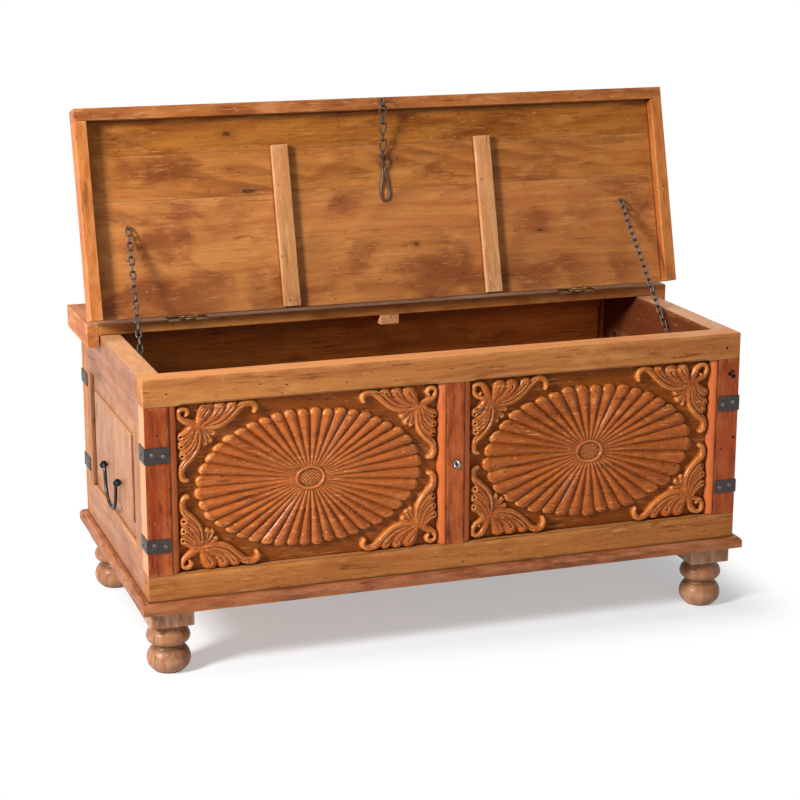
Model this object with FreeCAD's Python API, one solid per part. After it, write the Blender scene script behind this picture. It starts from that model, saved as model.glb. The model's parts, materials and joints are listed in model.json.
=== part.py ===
import math
import os

import FreeCAD
import Part

# Damchiya, a carved dowry chest on four turned feet, with its lid stored open.
# Row frame: X along the chest, the carved front faces -Y, +Z up, millimetres.
# Chest frame, used below: x from the left end, y back from the front face,
# z up from the underside of the carcass. place() moves it to the row frame.

# Driving sizes
chest_length = 1200.0
chest_depth = 600.0
carcass_height = 422.0
foot_drop = 131.0

# Joinery of the carcass
front_thickness = 46.0
end_thickness = 40.0
front_top_rail_height = 52.0
front_bottom_rail_height = 50.0
post_flat = 46.0
muntin_flat = 36.0
moulding_width = 16.0
moulding_quirk = 2.0
end_top_rail_height = 100.0
end_bottom_rail_height = 78.0
end_front_stile_width = 54.0
end_back_stile_width = 34.0
back_rail_height = 56.0
back_board_inset = 10.0
back_board_thickness = 20.0
rail_chamfer = 7.0

# Panels
panel_ground = 16.0
panel_thickness = 20.0
tongue_depth = 8.0
tongue_thickness = 10.0
tongue_offset = 4.0
tongue_end_room = 0.5
end_field_recess = 2.0
end_field_rise = 5.0
end_field_chamfer = 1.5
end_panel_border = 36.0
end_panel_slope = 1.5

# Carving of the front panels
rose_width_share = 0.875
rose_height_share = 0.855
flute_counts = (44, 37)
flute_height = 10.0
flute_inner_height_share = 0.42
flute_gap_share = 0.05
flute_sides = 4
flute_shoulder_share = 0.93
flute_tip_share = 1.0
flute_tip_width_share = 0.52
flute_tip_height_share = 0.52
flute_fullness = 0.8
flute_root = 0.6
boss_length_share = 0.128
boss_height_share = 0.165
boss_room_share = 1.08
boss_rise = 12.0
boss_sides = 16
boss_level_shares = ((0.72, 1.0), (0.9, 0.9), (0.72, 0.8), (1.0, 0.6))
spray_height = 6.0
curl_radius = 14.5
curl_wire = 6.0
curl_offset = 21.0
curl_slant_share = 0.81
curl_sides = 8
branch_length_shares = (0.31, 0.43)
branch_width = 13.0
branch_lobe = 11.0
branch_lobes = 3
branch_steps = 7
branch_arch_share = 1.9
branch_fall_share = 1.25
branch_fall_bend = 1.5
branch_lobe_start_share = 0.12
branch_lobe_fade_share = 0.55
branch_width_fade_share = 0.8

# Bottom and base
floor_thickness = 18.0
base_height = 21.0
base_overhang = 15.0
base_width = 100.0
base_round_height = 6.0
base_round_set = 5.0

# Turned feet
foot_block_side = 80.0
foot_block_height = 35.0
foot_inset_x = 44.0
foot_inset_y = 50.0
foot_sides = 16
foot_radius = 43.0
foot_profile_shares = (
    (0.00, 0.79),
    (0.06, 0.77),
    (0.125, 0.82),
    (0.18, 0.92),
    (0.285, 0.99),
    (0.375, 0.92),
    (0.43, 0.77),
    (0.46, 0.71),
    (0.50, 0.735),
    (0.55, 0.84),
    (0.635, 0.955),
    (0.75, 1.00),
    (0.855, 0.945),
    (0.93, 0.825),
    (1.00, 0.65),
)

# Lid and the fixed ledge behind it
lid_thickness = 22.0
lip_height = 45.0
lip_thickness = 24.0
lip_clearance = 2.0
hinge_line = 386.0
hinge_joint = 1.0
pin_rise = 5.5
open_angle = 105.0
plank_shares = (0.175, 0.405)
batten_width = 34.0
batten_thickness = 12.0
batten_inset = 383.0
batten_front_room = 59.0
batten_back_room = 2.0
ledge_batten_width = 40.0
ledge_batten_thickness = 20.0

# Brass hinges
hinge_inset = 178.0
hinge_recess_length = 82.0
hinge_recess_width = 25.0
hinge_recess_depth = 3.5
hinge_length = 30.0
leaf_thickness = 2.2
leaf_width = 23.0
leaf_joint = 1.5
knuckle_radius = 4.5
knuckle_gap = 0.3
knuckle_share = 0.36
pin_radius = 1.8
pin_clearance = 0.05
pin_head_radius = 3.4
pin_head_height = 1.2
knuckle_sides = 12
pin_sides = 12
cut_overrun = 1.0

# Stay chains
stay_top_insets = (66.0, 79.0)
stay_bottom_inset = 48.0
stay_reach = 178.0
stay_stand_off = 5.0
stay_bottom_y = 225.0
stay_bottom_z = 378.0
stay_wire = 1.6
stay_link_half_width = 4.9
stay_links = 20
stay_bite = 0.1
stay_middle_gap = 0.06
stay_eye_wire = 1.3
stay_eye_clearance = 0.2
stay_eye_stem = 1.6
stay_screw_radius = 1.6
stay_screw_clearance = 0.06
stay_screw_head_radius = 3.6
stay_screw_head_height = 1.8
stay_screw_room = 2.8
screw_sides = 10
wire_sides = 6
link_sides = 5
link_arc_steps = 3
mitre_limit_share = 0.3
eye_sides = 12

# Hasp
hasp_stand_off = 11.5
hasp_setback = 13.4
hasp_wire = 1.7
hasp_eye_radius = 8.3
hasp_eye_sides = 12
hasp_link_count = 3
hasp_link_length = 37.9
hasp_head_half_width = 7.8
hasp_tail_half_width = 3.5
hasp_bite = 0.1
hasp_clearance = 0.12
loop_length = 90.0
loop_half_width = 9.0
loop_rest_gap = 0.2
loop_shape_shares = (
    (0.00, 0.38),
    (0.04, 0.80),
    (0.11, 1.00),
    (0.19, 0.72),
    (0.28, 0.28),
    (0.40, 0.36),
    (0.58, 0.66),
    (0.74, 0.95),
    (0.86, 1.00),
    (0.95, 0.78),
    (1.00, 0.38),
)
lock_lug_thickness = 9.0
lock_lug_height = 22.0
lock_lug_reach = 17.0
lock_lug_z = 211.0
lock_hole_radius = 3.2
lug_steps = 6

# End handles
handle_z = 166.0
handle_spacing = 132.0
handle_drop = 69.0
handle_wire = 3.4
handle_stand_off = 7.0
handle_stub = 8.0
handle_sides = 8
handle_eye_wire = 2.2
handle_eye_clearance = 0.25
handle_stem_radius = 2.8
handle_eye_sides = 10
handle_shape_shares = (
    (0.100, 0.14),
    (0.125, 0.45),
    (0.180, 0.70),
    (0.290, 0.90),
    (0.420, 0.99),
)

# Iron corner straps
strap_thickness = 2.0
strap_front_length = 45.0
strap_side_length = 44.0
strap_front_low_band = (95.0, 26.0)
strap_front_high_band = (157.0, 30.0)
strap_rear_length = 56.0
strap_rear_low_band = (102.0, 27.0)
strap_rear_high_band = (140.0, 27.0)

# Derived sizes
length_mid = chest_length / 2.0
depth_mid = chest_depth / 2.0
floor_z = -(base_height + foot_drop)
opening_left = post_flat + moulding_width
opening_right = length_mid - muntin_flat / 2.0 - moulding_width
opening_low = front_bottom_rail_height
opening_high = carcass_height - front_top_rail_height
opening_length = opening_right - opening_left
opening_height = opening_high - opening_low
rear_face = chest_depth - front_thickness
lid_top = carcass_height + lid_thickness
pin_z = lid_top + pin_rise
lip_low = lid_top - lip_height
lid_back = hinge_line - hinge_joint
ledge_front = hinge_line + hinge_joint
tongue_front = panel_ground + tongue_offset
X_AXIS = FreeCAD.Vector(1, 0, 0)
Y_AXIS = FreeCAD.Vector(0, 1, 0)
Z_AXIS = FreeCAD.Vector(0, 0, 1)
nodes = {}


def vec(x, y, z):
    return FreeCAD.Vector(x, y, z)


def box(x0, x1, y0, y1, z0, z1):
    return Part.makeBox(x1 - x0, y1 - y0, z1 - z0, vec(x0, y0, z0))


def closed_solid(faces):
    """A solid from the flat faces that bound it."""
    solid = Part.Solid(Part.Shell(faces))
    if solid.Volume < 0:
        solid.reverse()
    return solid


def flat_face(points):
    return Part.Face(Part.makePolygon(list(points) + [points[0]]))


def prism(points, along):
    return flat_face(points).extrude(along)


def joined(shapes):
    """The shapes fused to one body."""
    if len(shapes) == 1:
        return shapes[0]
    return shapes[0].multiFuse(shapes[1:]).removeSplitter()


def mirrored(shape):
    """The same piece at the chest's other end."""
    return shape.mirror(vec(length_mid, 0, 0), X_AXIS)


def tube(points, radius, sides, normal, closed):
    """A faceted rod along a flat path, mitred at each bend."""
    count = len(points)
    rings = []
    for i in range(count):
        before = points[i] - points[i - 1] if closed or i > 0 else points[1] - points[0]
        after = points[(i + 1) % count] - points[i] if closed or i < count - 1 else before
        before = FreeCAD.Vector(before).normalize()
        after = FreeCAD.Vector(after).normalize()
        way = (before + after).normalize()
        side = normal.cross(way)
        stretch = 1.0 / max(way.dot(before), mitre_limit_share)
        ring = []
        for k in range(sides):
            turn = 2.0 * math.pi * (k + 0.5) / sides
            off_plane = normal * (radius * math.cos(turn))
            ring.append(points[i] + off_plane + side * (radius * stretch * math.sin(turn)))
        rings.append(ring)
    faces = []
    for i in range(count if closed else count - 1):
        a, b = rings[i], rings[(i + 1) % count]
        for k in range(sides):
            m = (k + 1) % sides
            faces.append(flat_face([a[k], a[m], b[m], b[k]]))
    if not closed:
        faces += [flat_face(rings[0]), flat_face(rings[-1])]
    return closed_solid(faces)


def bent_tube(points, radius, sides):
    """A faceted closed rod along a path that leaves its plane, in triangles."""
    count = len(points)
    ways = []
    for i in range(count):
        ways.append((points[(i + 1) % count] - points[i - 1]).normalize())
    side = ways[0].cross(Z_AXIS if abs(ways[0].z) < abs(ways[0].x) else X_AXIS).normalize()
    frames = []
    for way in ways:
        side = (side - way * side.dot(way)).normalize()
        frames.append(side)
    last = (side - ways[0] * side.dot(ways[0])).normalize()
    twist = math.atan2(frames[0].cross(last).dot(ways[0]), frames[0].dot(last))
    rings = []
    for i in range(count):
        across = ways[i].cross(frames[i])
        ring = []
        for k in range(sides):
            turn = 2.0 * math.pi * k / sides - twist * i / count
            outward = frames[i] * math.cos(turn) + across * math.sin(turn)
            ring.append(points[i] + outward * radius)
        rings.append(ring)
    faces = []
    for i in range(count):
        a, b = rings[i], rings[(i + 1) % count]
        for k in range(sides):
            m = (k + 1) % sides
            faces.append(flat_face([a[k], a[m], b[m]]))
            faces.append(flat_face([a[k], b[m], b[k]]))
    return closed_solid(faces)


def rod(start, way, length, radius, sides):
    """A straight bar with flat sides."""
    side = way.cross(Z_AXIS if abs(way.z) < abs(way.x) else X_AXIS).normalize()
    rim = ring_path(start, side, way.cross(side), radius, sides)
    return prism(rim, way * length)


def link_path(start, way, head_side, tail_side, length, head_half, tail_half):
    """The closed centre line of a link: two bowed ends and the straights between.

    start is the centre of its head's wire, way points down the chain. A tail
    whose side differs from the head's makes a twisted link.
    """
    points = []
    full = math.sin(math.pi / link_arc_steps)
    for middle, side, half, sign in (
        (start + way * head_half, head_side, head_half, 1.0),
        (start + way * (length - tail_half), tail_side, tail_half, -1.0),
    ):
        for k in range(link_arc_steps + 1):
            turn = math.pi * k / link_arc_steps
            across = side * (sign * half * math.cos(turn))
            points.append(middle + across - way * (sign * half * math.sin(turn) / full))
    return points


def ring_path(centre, first, second, radius, sides):
    points = []
    for k in range(sides):
        turn = 2.0 * math.pi * k / sides
        points.append(centre + first * (radius * math.cos(turn)) + second * (radius * math.sin(turn)))
    return points


def turned(profile, axis_x, axis_y, sides):
    """A faceted turning from (height, radius) pairs, top first."""
    rings = []
    for height, radius in profile:
        ring = []
        for k in range(sides):
            turn = 2.0 * math.pi * (k + 0.5) / sides
            ring.append(vec(axis_x + radius * math.cos(turn), axis_y + radius * math.sin(turn), height))
        rings.append(ring)
    faces = [flat_face(rings[0]), flat_face(rings[-1])]
    for upper, lower in zip(rings, rings[1:]):
        for k in range(sides):
            m = (k + 1) % sides
            faces.append(flat_face([upper[k], upper[m], lower[m], lower[k]]))
    return closed_solid(faces)


def opened(shape):
    """A piece of the lid, drawn closed, turned up to the stored open pose."""
    turned_up = shape.copy()
    turned_up.rotate(vec(0, hinge_line, pin_z), X_AXIS, -open_angle)
    return turned_up


def opened_point(x, y, z):
    """Where a point of the closed lid is in the stored open pose."""
    turn = math.radians(open_angle)
    dy, dz = y - hinge_line, z - pin_z
    back = dy * math.cos(turn) + dz * math.sin(turn)
    up = dz * math.cos(turn) - dy * math.sin(turn)
    return vec(x, hinge_line + back, pin_z + up)


def place(name, shape):
    """Move a piece to the row frame, centred in plan with the feet on z = 0."""
    moved = shape.copy()
    moved.translate(vec(-length_mid, -depth_mid, -floor_z))
    nodes[name] = moved


def ellipse_points(half_x, half_z, count):
    """Directions that split an ellipse's edge into equal lengths."""
    fine = 720
    edge = [0.0]
    for k in range(fine):
        a, b = 2 * math.pi * k / fine, 2 * math.pi * (k + 1) / fine
        step_x = half_x * (math.cos(b) - math.cos(a))
        step_z = half_z * (math.sin(b) - math.sin(a))
        edge.append(edge[-1] + math.hypot(step_x, step_z))
    turns = []
    k = 0
    for i in range(count):
        want = edge[-1] * i / count
        while edge[k + 1] < want:
            k += 1
        share = (want - edge[k]) / (edge[k + 1] - edge[k])
        turns.append(2 * math.pi * (k + share) / fine)
    return turns


def flute(centre_x, centre_z, half_x, half_z, boss_x, boss_z, turn, step):
    """One ray of the rosette: a rounded rib that widens to a rounded tip."""
    tip = (half_x * math.cos(turn), half_z * math.sin(turn))
    reach = math.hypot(*tip)
    way = (tip[0] / reach, tip[1] / reach)
    across = (-way[1], way[0])
    rim = (half_x * math.sin(turn), half_z * math.cos(turn))
    spread = step * abs(rim[0] * way[1] + rim[1] * way[0]) / 2.0
    inner = boss_x * boss_z / math.hypot(boss_z * way[0], boss_x * way[1])
    stations = (
        (inner, spread * inner / reach, flute_inner_height_share),
        (reach * flute_shoulder_share, spread * flute_shoulder_share, 1.0),
        (reach * flute_tip_share, spread * flute_tip_width_share, flute_tip_height_share),
    )
    rings = []
    for along, half, rise in stations:
        half *= 1.0 - flute_gap_share
        ring = []
        for k in range(flute_sides + 1):
            bend = math.pi * k / flute_sides
            side = half * math.cos(bend)
            height = -flute_root
            if 0 < k < flute_sides:
                height = flute_height * rise * math.sin(bend) ** flute_fullness
            ring.append(
                vec(
                    centre_x + along * way[0] + side * across[0],
                    panel_ground - height,
                    centre_z + along * way[1] + side * across[1],
                )
            )
        rings.append(ring)
    faces = [flat_face(rings[0]), flat_face(rings[-1])]
    base = [rings[0][0], rings[1][0], rings[2][0], rings[2][-1], rings[1][-1], rings[0][-1]]
    faces.append(flat_face(base))
    for a, b in zip(rings, rings[1:]):
        for k in range(flute_sides):
            faces.append(flat_face([a[k], a[k + 1], b[k + 1]]))
            faces.append(flat_face([a[k], b[k + 1], b[k]]))
    return closed_solid(faces)


def boss(centre_x, centre_z, half_x, half_z):
    """The rosette's heart: an oval dome in a raised ring."""
    levels = ((0.0, 1.0),) + boss_level_shares
    rings = []
    for rise, share in levels:
        ring = []
        for k in range(boss_sides):
            turn = 2 * math.pi * k / boss_sides
            depth = panel_ground - boss_rise * rise if rise > 0 else panel_ground + flute_root
            across = half_x * share * math.cos(turn)
            ring.append(vec(centre_x + across, depth, centre_z + half_z * share * math.sin(turn)))
        rings.append(ring)
    faces = [flat_face(rings[0]), flat_face(rings[-1])]
    for a, b in zip(rings, rings[1:]):
        for k in range(boss_sides):
            m = (k + 1) % boss_sides
            faces.append(flat_face([a[k], a[m], b[m]]))
            faces.append(flat_face([a[k], b[m], b[k]]))
    return closed_solid(faces)


def branch_outline(corner_x, corner_z, sign_x, sign_z, reach, swap):
    """A leaf branch that arches away from its corner, scalloped on the outer edge."""
    outer, inner = [], []
    start = curl_offset + curl_radius
    for k in range(branch_steps + 1):
        share = k / branch_steps
        along = start + (reach - start) * share
        arch = curl_offset * (branch_arch_share - branch_fall_share * share ** branch_fall_bend)
        wave = abs(math.sin(math.pi * (share * branch_lobes + branch_lobe_start_share)))
        lobe = branch_lobe * wave * (1.0 - branch_lobe_fade_share * share)
        width = branch_width * (1.0 - branch_width_fade_share * share) / 2.0
        outer.append((along, max(arch - width - lobe, moulding_quirk)))
        inner.append((along, arch + width))
    points = []
    for along, off in outer + inner[::-1]:
        u, v = (off, along) if swap else (along, off)
        points.append(vec(corner_x + sign_x * u, panel_ground + flute_root, corner_z + sign_z * v))
    return prism(points, vec(0, -(spray_height + flute_root), 0))


def spray(corner_x, corner_z, sign_x, sign_z):
    """A corner leaf spray: a curl with one branch along each edge."""
    across = curl_offset * curl_slant_share
    centre = vec(corner_x + sign_x * across, panel_ground + flute_root, corner_z + sign_z * curl_offset)
    ring = ring_path(centre, X_AXIS, Z_AXIS, curl_radius, curl_sides)
    hole = ring_path(centre, X_AXIS, Z_AXIS, curl_radius - curl_wire, curl_sides)
    rise = vec(0, -(spray_height + flute_root), 0)
    curl = prism(ring, rise).cut(prism(hole, rise))
    reach_x = opening_length * branch_length_shares[0]
    reach_z = opening_height * branch_length_shares[1]
    flat = branch_outline(corner_x, corner_z, sign_x, sign_z, reach_x, False)
    tall = branch_outline(corner_x, corner_z, sign_x, sign_z, reach_z, True)
    return [curl, flat, tall]


def carved_panel(left, flutes):
    """A front panel: tongued board with a fluted rosette and four corner sprays."""
    right = left + opening_length
    board = box(left, right, panel_ground, panel_ground + panel_thickness, opening_low, opening_high)
    reach = tongue_depth - tongue_end_room
    tongue = box(
        left - reach,
        right + reach,
        tongue_front,
        tongue_front + tongue_thickness,
        opening_low - reach,
        opening_high + reach,
    )
    centre_x = (left + right) / 2.0
    centre_z = (opening_low + opening_high) / 2.0
    half_x = opening_length * rose_width_share / 2.0
    half_z = opening_height * rose_height_share / 2.0
    boss_x = half_x * boss_length_share
    boss_z = half_z * boss_height_share
    room_x, room_z = boss_x * boss_room_share, boss_z * boss_room_share
    carving = []
    turns = ellipse_points(half_x, half_z, flutes)
    for i, turn in enumerate(turns):
        after = turns[(i + 1) % flutes] + (2 * math.pi if i == flutes - 1 else 0.0)
        middle = (turn + after) / 2.0
        carving.append(flute(centre_x, centre_z, half_x, half_z, room_x, room_z, middle, after - turn))
    carving.append(boss(centre_x, centre_z, boss_x, boss_z))
    for corner_x, sign_x in ((left, 1), (right, -1)):
        for corner_z, sign_z in ((opening_low, 1), (opening_high, -1)):
            carving += spray(corner_x, corner_z, sign_x, sign_z)
    return board.fuse(tongue).multiFuse(carving)


def ovolo(edge_x, way, z):
    """The moulded edge of an upright, from its side face to its flat front.

    way is 1 where the upright lies to the right of its edge, else -1.
    """
    radius = moulding_width - moulding_quirk
    flat = edge_x + way * moulding_width
    centre_x = flat - way * moulding_quirk
    eighth = math.pi / 4
    start = vec(edge_x, moulding_width, z)
    end = vec(centre_x, moulding_quirk, z)
    middle_x = centre_x - way * radius * math.cos(eighth)
    middle = vec(middle_x, moulding_width - radius * math.sin(eighth), z)
    step = vec(flat, moulding_quirk, z)
    front = vec(flat, 0, z)
    edges = [Part.Arc(start, middle, end).toShape()]
    edges.append(Part.makeLine(end, step))
    edges.append(Part.makeLine(step, front))
    return edges, start, front


def moulded_stick(x0, x1, mould_left, mould_right, z0, z1):
    """An upright of the front with an ovolo on the edges that face a panel."""
    back_left, back_right = vec(x0, front_thickness, z0), vec(x1, front_thickness, z0)
    edges = []
    ends = []
    for x, way, moulded in ((x0, 1, mould_left), (x1, -1, mould_right)):
        if moulded:
            curve, side, front = ovolo(x, way, z0)
            edges += curve
        else:
            side = front = vec(x, 0, z0)
        ends.append((side, front))
    edges.append(Part.makeLine(back_left, ends[0][0]))
    edges.append(Part.makeLine(ends[0][1], ends[1][1]))
    edges.append(Part.makeLine(ends[1][0], back_right))
    edges.append(Part.makeLine(back_right, back_left))
    outline = Part.Wire(Part.__sortEdges__(edges))
    return Part.Face(outline).extrude(vec(0, 0, z1 - z0))


def front_grooves():
    """What the tongues of both carved panels need cut from the frame."""
    cuts = []
    for left in (opening_left, length_mid + muntin_flat / 2.0 + moulding_width):
        cuts.append(
            box(
                left - tongue_depth,
                left + opening_length + tongue_depth,
                tongue_front,
                tongue_front + tongue_thickness,
                opening_low - tongue_depth,
                opening_high + tongue_depth,
            )
        )
    return cuts[0].fuse(cuts[1])


def build_front():
    grooves = front_grooves()
    top = box(0, chest_length, 0, front_thickness, opening_high, carcass_height)
    bottom = box(0, chest_length, 0, front_thickness, 0, opening_low)
    for left in (opening_left, length_mid + muntin_flat / 2.0 + moulding_width):
        for z, way in ((opening_low, -1), (opening_high, 1)):
            corner = [vec(left, 0, z), vec(left, 0, z + way * rail_chamfer), vec(left, rail_chamfer, z)]
            wedge = prism(corner, vec(opening_length, 0, 0))
            if way < 0:
                bottom = bottom.cut(wedge)
            else:
                top = top.cut(wedge)
    post = moulded_stick(0, opening_left, False, True, opening_low, opening_high)
    far_side = chest_length - opening_right
    muntin = moulded_stick(opening_right, far_side, True, True, opening_low, opening_high)
    place("front_top_rail", top.cut(grooves))
    place("front_bottom_rail", bottom.cut(grooves))
    place("front_post_left", post.cut(grooves))
    place("front_post_right", mirrored(post.cut(grooves)))
    place("front_muntin", muntin.cut(grooves))
    place("carved_panel_left", carved_panel(opening_left, flute_counts[0]))
    place("carved_panel_right", carved_panel(far_side, flute_counts[1]))


def build_ends():
    """Frame and raised panel of the left end, mirrored to the right."""
    low, high = end_bottom_rail_height, carcass_height - end_top_rail_height
    near = front_thickness + end_front_stile_width
    far = rear_face - end_back_stile_width
    border_x = end_field_recess + end_field_rise
    back_x = border_x + end_panel_slope
    tongue_x = back_x + tongue_offset
    groove = box(
        tongue_x,
        tongue_x + tongue_thickness,
        near - tongue_depth,
        far + tongue_depth,
        low - tongue_depth,
        high + tongue_depth,
    )
    top = box(0, end_thickness, front_thickness, rear_face, high, carcass_height).cut(groove)
    bottom = box(0, end_thickness, front_thickness, rear_face, 0, low).cut(groove)
    stile_front = box(0, end_thickness, front_thickness, near, low, high).cut(groove)
    stile_back = box(0, end_thickness, far, rear_face, low, high).cut(groove)
    reach = tongue_depth - tongue_end_room
    board = box(back_x, back_x + panel_thickness, near, far, low, high)
    tongue = box(
        tongue_x,
        tongue_x + tongue_thickness,
        near - reach,
        far + reach,
        low - reach,
        high + reach,
    )
    inner = end_panel_border + end_field_chamfer
    rims = []
    for inset, x in (
        (0.0, back_x),
        (end_panel_border, border_x),
        (end_panel_border, end_field_recess + end_field_chamfer),
        (inner, end_field_recess),
    ):
        rims.append(
            [
                vec(x, near + inset, low + inset),
                vec(x, far - inset, low + inset),
                vec(x, far - inset, high - inset),
                vec(x, near + inset, high - inset),
            ]
        )
    faces = [flat_face(rims[0]), flat_face(rims[-1])]
    for outer_rim, inner_rim in zip(rims, rims[1:]):
        for k in range(len(outer_rim)):
            m = (k + 1) % len(outer_rim)
            faces.append(flat_face([outer_rim[k], outer_rim[m], inner_rim[m], inner_rim[k]]))
    panel = board.fuse([tongue, closed_solid(faces)])
    for name, shape in (
        ("end_top_rail", top),
        ("end_bottom_rail", bottom),
        ("end_front_stile", stile_front),
        ("end_back_stile", stile_back),
        ("end_panel", panel),
    ):
        place(name + "_left", shape)
        place(name + "_right", mirrored(shape))


def build_back():
    back_y = chest_depth - end_thickness
    post = box(0, post_flat, rear_face, chest_depth, 0, carcass_height)
    place("back_post_left", post)
    place("back_post_right", mirrored(post))
    span = (post_flat, chest_length - post_flat)
    high = carcass_height - back_rail_height
    place("back_top_rail", box(*span, back_y, chest_depth, high, carcass_height))
    place("back_bottom_rail", box(*span, back_y, chest_depth, 0, back_rail_height))
    board_y = chest_depth - back_board_inset - back_board_thickness
    place("back_board", box(*span, board_y, board_y + back_board_thickness, back_rail_height, high))


def base_strip(corners_out, corners_in):
    """One mitred length of the base moulding with a softened top edge."""
    def ring(inset, z):
        points = [vec(x, y, z) for x, y in inset]
        return Part.makePolygon(points + [points[0]])

    def set_in(distance):
        shifted = []
        for x, y in corners_out:
            shifted.append(
                (
                    x + distance if x < length_mid else x - distance,
                    y + distance if y < depth_mid else y - distance,
                )
            )
        return shifted + corners_in

    plan = set_in(0.0)
    lower = prism([vec(x, y, -base_height) for x, y in plan], vec(0, 0, base_height - base_round_height))
    upper = Part.makeLoft([ring(plan, -base_round_height), ring(set_in(base_round_set), 0.0)], True, True)
    return lower.fuse(upper).removeSplitter()


def build_base():
    x0, x1 = -base_overhang, chest_length + base_overhang
    y0, y1 = -base_overhang, chest_depth + base_overhang
    in_x0, in_x1 = x0 + base_width, x1 - base_width
    in_y0, in_y1 = y0 + base_width, y1 - base_width
    front = base_strip([(x0, y0), (x1, y0)], [(in_x1, in_y0), (in_x0, in_y0)])
    back = base_strip([(x0, y1), (x1, y1)], [(in_x1, in_y1), (in_x0, in_y1)])
    left = base_strip([(x0, y0), (x0, y1)], [(in_x0, in_y1), (in_x0, in_y0)])
    place("base_moulding_front", front)
    place("base_moulding_back", back)
    place("base_moulding_left", left)
    place("base_moulding_right", mirrored(left))
    span = (end_thickness, chest_length - end_thickness)
    place("floor_board", box(*span, front_thickness, rear_face, 0, floor_thickness))


def build_feet():
    """Turned feet: square block, cove, collar, neck and a flattened ball."""
    top = -base_height
    block_low = top - foot_block_height
    turned_height = block_low - floor_z
    profile = []
    for share, width in foot_profile_shares:
        profile.append((block_low - share * turned_height, width * foot_radius))
    for side, x in (("left", foot_inset_x), ("right", chest_length - foot_inset_x)):
        for end, y in (("front", foot_inset_y), ("back", chest_depth - foot_inset_y)):
            half = foot_block_side / 2.0
            block = box(x - half, x + half, y - half, y + half, block_low, top)
            place("foot_" + end + "_" + side, block.fuse(turned(profile, x, y, foot_sides)))


def hinge_recess(x, from_y, to_y):
    half = hinge_recess_length / 2.0
    return box(x - half, x + half, from_y, to_y, lid_top - hinge_recess_depth, lid_top)


def build_ledge():
    """The rear strip of the top, which stays put and carries the hinges."""
    low_x, high_x = -lip_clearance, chest_length + lip_clearance
    board = box(low_x, high_x, ledge_front, chest_depth, carcass_height, lid_top)
    for x in (hinge_inset, chest_length - hinge_inset):
        board = board.cut(hinge_recess(x, ledge_front, ledge_front + hinge_recess_width))
    lip = box(low_x - lip_thickness, low_x, ledge_front, chest_depth, lip_low, lid_top)
    place("ledge_board", board)
    place("ledge_lip_left", lip)
    place("ledge_lip_right", mirrored(lip))
    half = ledge_batten_width / 2.0
    place(
        "ledge_batten",
        box(
            length_mid - half,
            length_mid + half,
            ledge_front,
            chest_depth - end_thickness,
            carcass_height - ledge_batten_thickness,
            carcass_height,
        ),
    )


def build_lid():
    low_x, high_x = -lip_clearance, chest_length + lip_clearance
    seams = [-lip_clearance] + [hinge_line * share for share in plank_shares] + [lid_back]
    for name, near, far in zip(("front", "middle", "rear"), seams, seams[1:]):
        plank = box(low_x, high_x, near, far, carcass_height, lid_top)
        if name == "rear":
            for x in (hinge_inset, chest_length - hinge_inset):
                plank = plank.cut(hinge_recess(x, lid_back - hinge_recess_width, lid_back))
        place("lid_board_" + name, opened(plank))
    outer = lip_clearance + lip_thickness
    front = box(-outer, chest_length + outer, -outer, -lip_clearance, lip_low, lid_top)
    side = box(-outer, -lip_clearance, -lip_clearance, lid_back, lip_low, lid_top)
    place("lid_lip_front", opened(front))
    place("lid_lip_left", opened(side))
    place("lid_lip_right", opened(mirrored(side)))
    half = batten_width / 2.0
    batten = box(
        batten_inset - half,
        batten_inset + half,
        batten_front_room,
        lid_back - batten_back_room,
        carcass_height - batten_thickness,
        carcass_height,
    )
    place("lid_batten_left", opened(batten))
    place("lid_batten_right", opened(mirrored(batten)))


def knuckle(x0, x1):
    return rod(vec(x0, hinge_line, pin_z), X_AXIS, x1 - x0, knuckle_radius, knuckle_sides)


def hinge_bore(x):
    low = x - hinge_length / 2.0 - cut_overrun
    length = hinge_length + 2 * cut_overrun
    return Part.makeCylinder(pin_radius + pin_clearance, length, vec(low, hinge_line, pin_z), X_AXIS)


def build_hinges():
    """Two brass butt hinges laid in recesses, knuckles proud of the top."""
    seat = lid_top - hinge_recess_depth
    side = hinge_length * (1.0 - knuckle_share) / 2.0
    ledge_leaves, lid_leaves, pins = [], [], []
    for x in (hinge_inset, chest_length - hinge_inset):
        low, high = x - hinge_length / 2.0, x + hinge_length / 2.0
        near, far = hinge_line + leaf_joint, hinge_line + knuckle_radius
        fixed = [box(low, high, near, near + leaf_width, seat, seat + leaf_thickness)]
        for a, b in ((low, low + side - knuckle_gap), (high - side + knuckle_gap, high)):
            fixed.append(knuckle(a, b))
            fixed.append(box(a, b, far - leaf_thickness, far, seat, pin_z))
        ledge_leaves.append(joined(fixed).cut(hinge_bore(x)))
        near, far = hinge_line - leaf_joint, hinge_line - knuckle_radius
        a, b = low + side + knuckle_gap, high - side - knuckle_gap
        moving = [
            box(low, high, near - leaf_width, near, seat, seat + leaf_thickness),
            knuckle(a, b),
            box(a, b, far, far + leaf_thickness, seat, pin_z),
        ]
        lid_leaves.append(opened(joined(moving).cut(hinge_bore(x))))
        start = low - pin_head_height
        length = hinge_length + 2 * pin_head_height
        pin = [rod(vec(start, hinge_line, pin_z), X_AXIS, length, pin_radius, pin_sides)]
        for head in (start, high):
            start = vec(head, hinge_line, pin_z)
            pin.append(rod(start, X_AXIS, pin_head_height, pin_head_radius, pin_sides))
        pins.append(joined(pin))
    place("hinge_leaves_ledge", Part.makeCompound(ledge_leaves))
    place("hinge_leaves_lid", Part.makeCompound(lid_leaves))
    place("hinge_pins", Part.makeCompound(pins))


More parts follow.
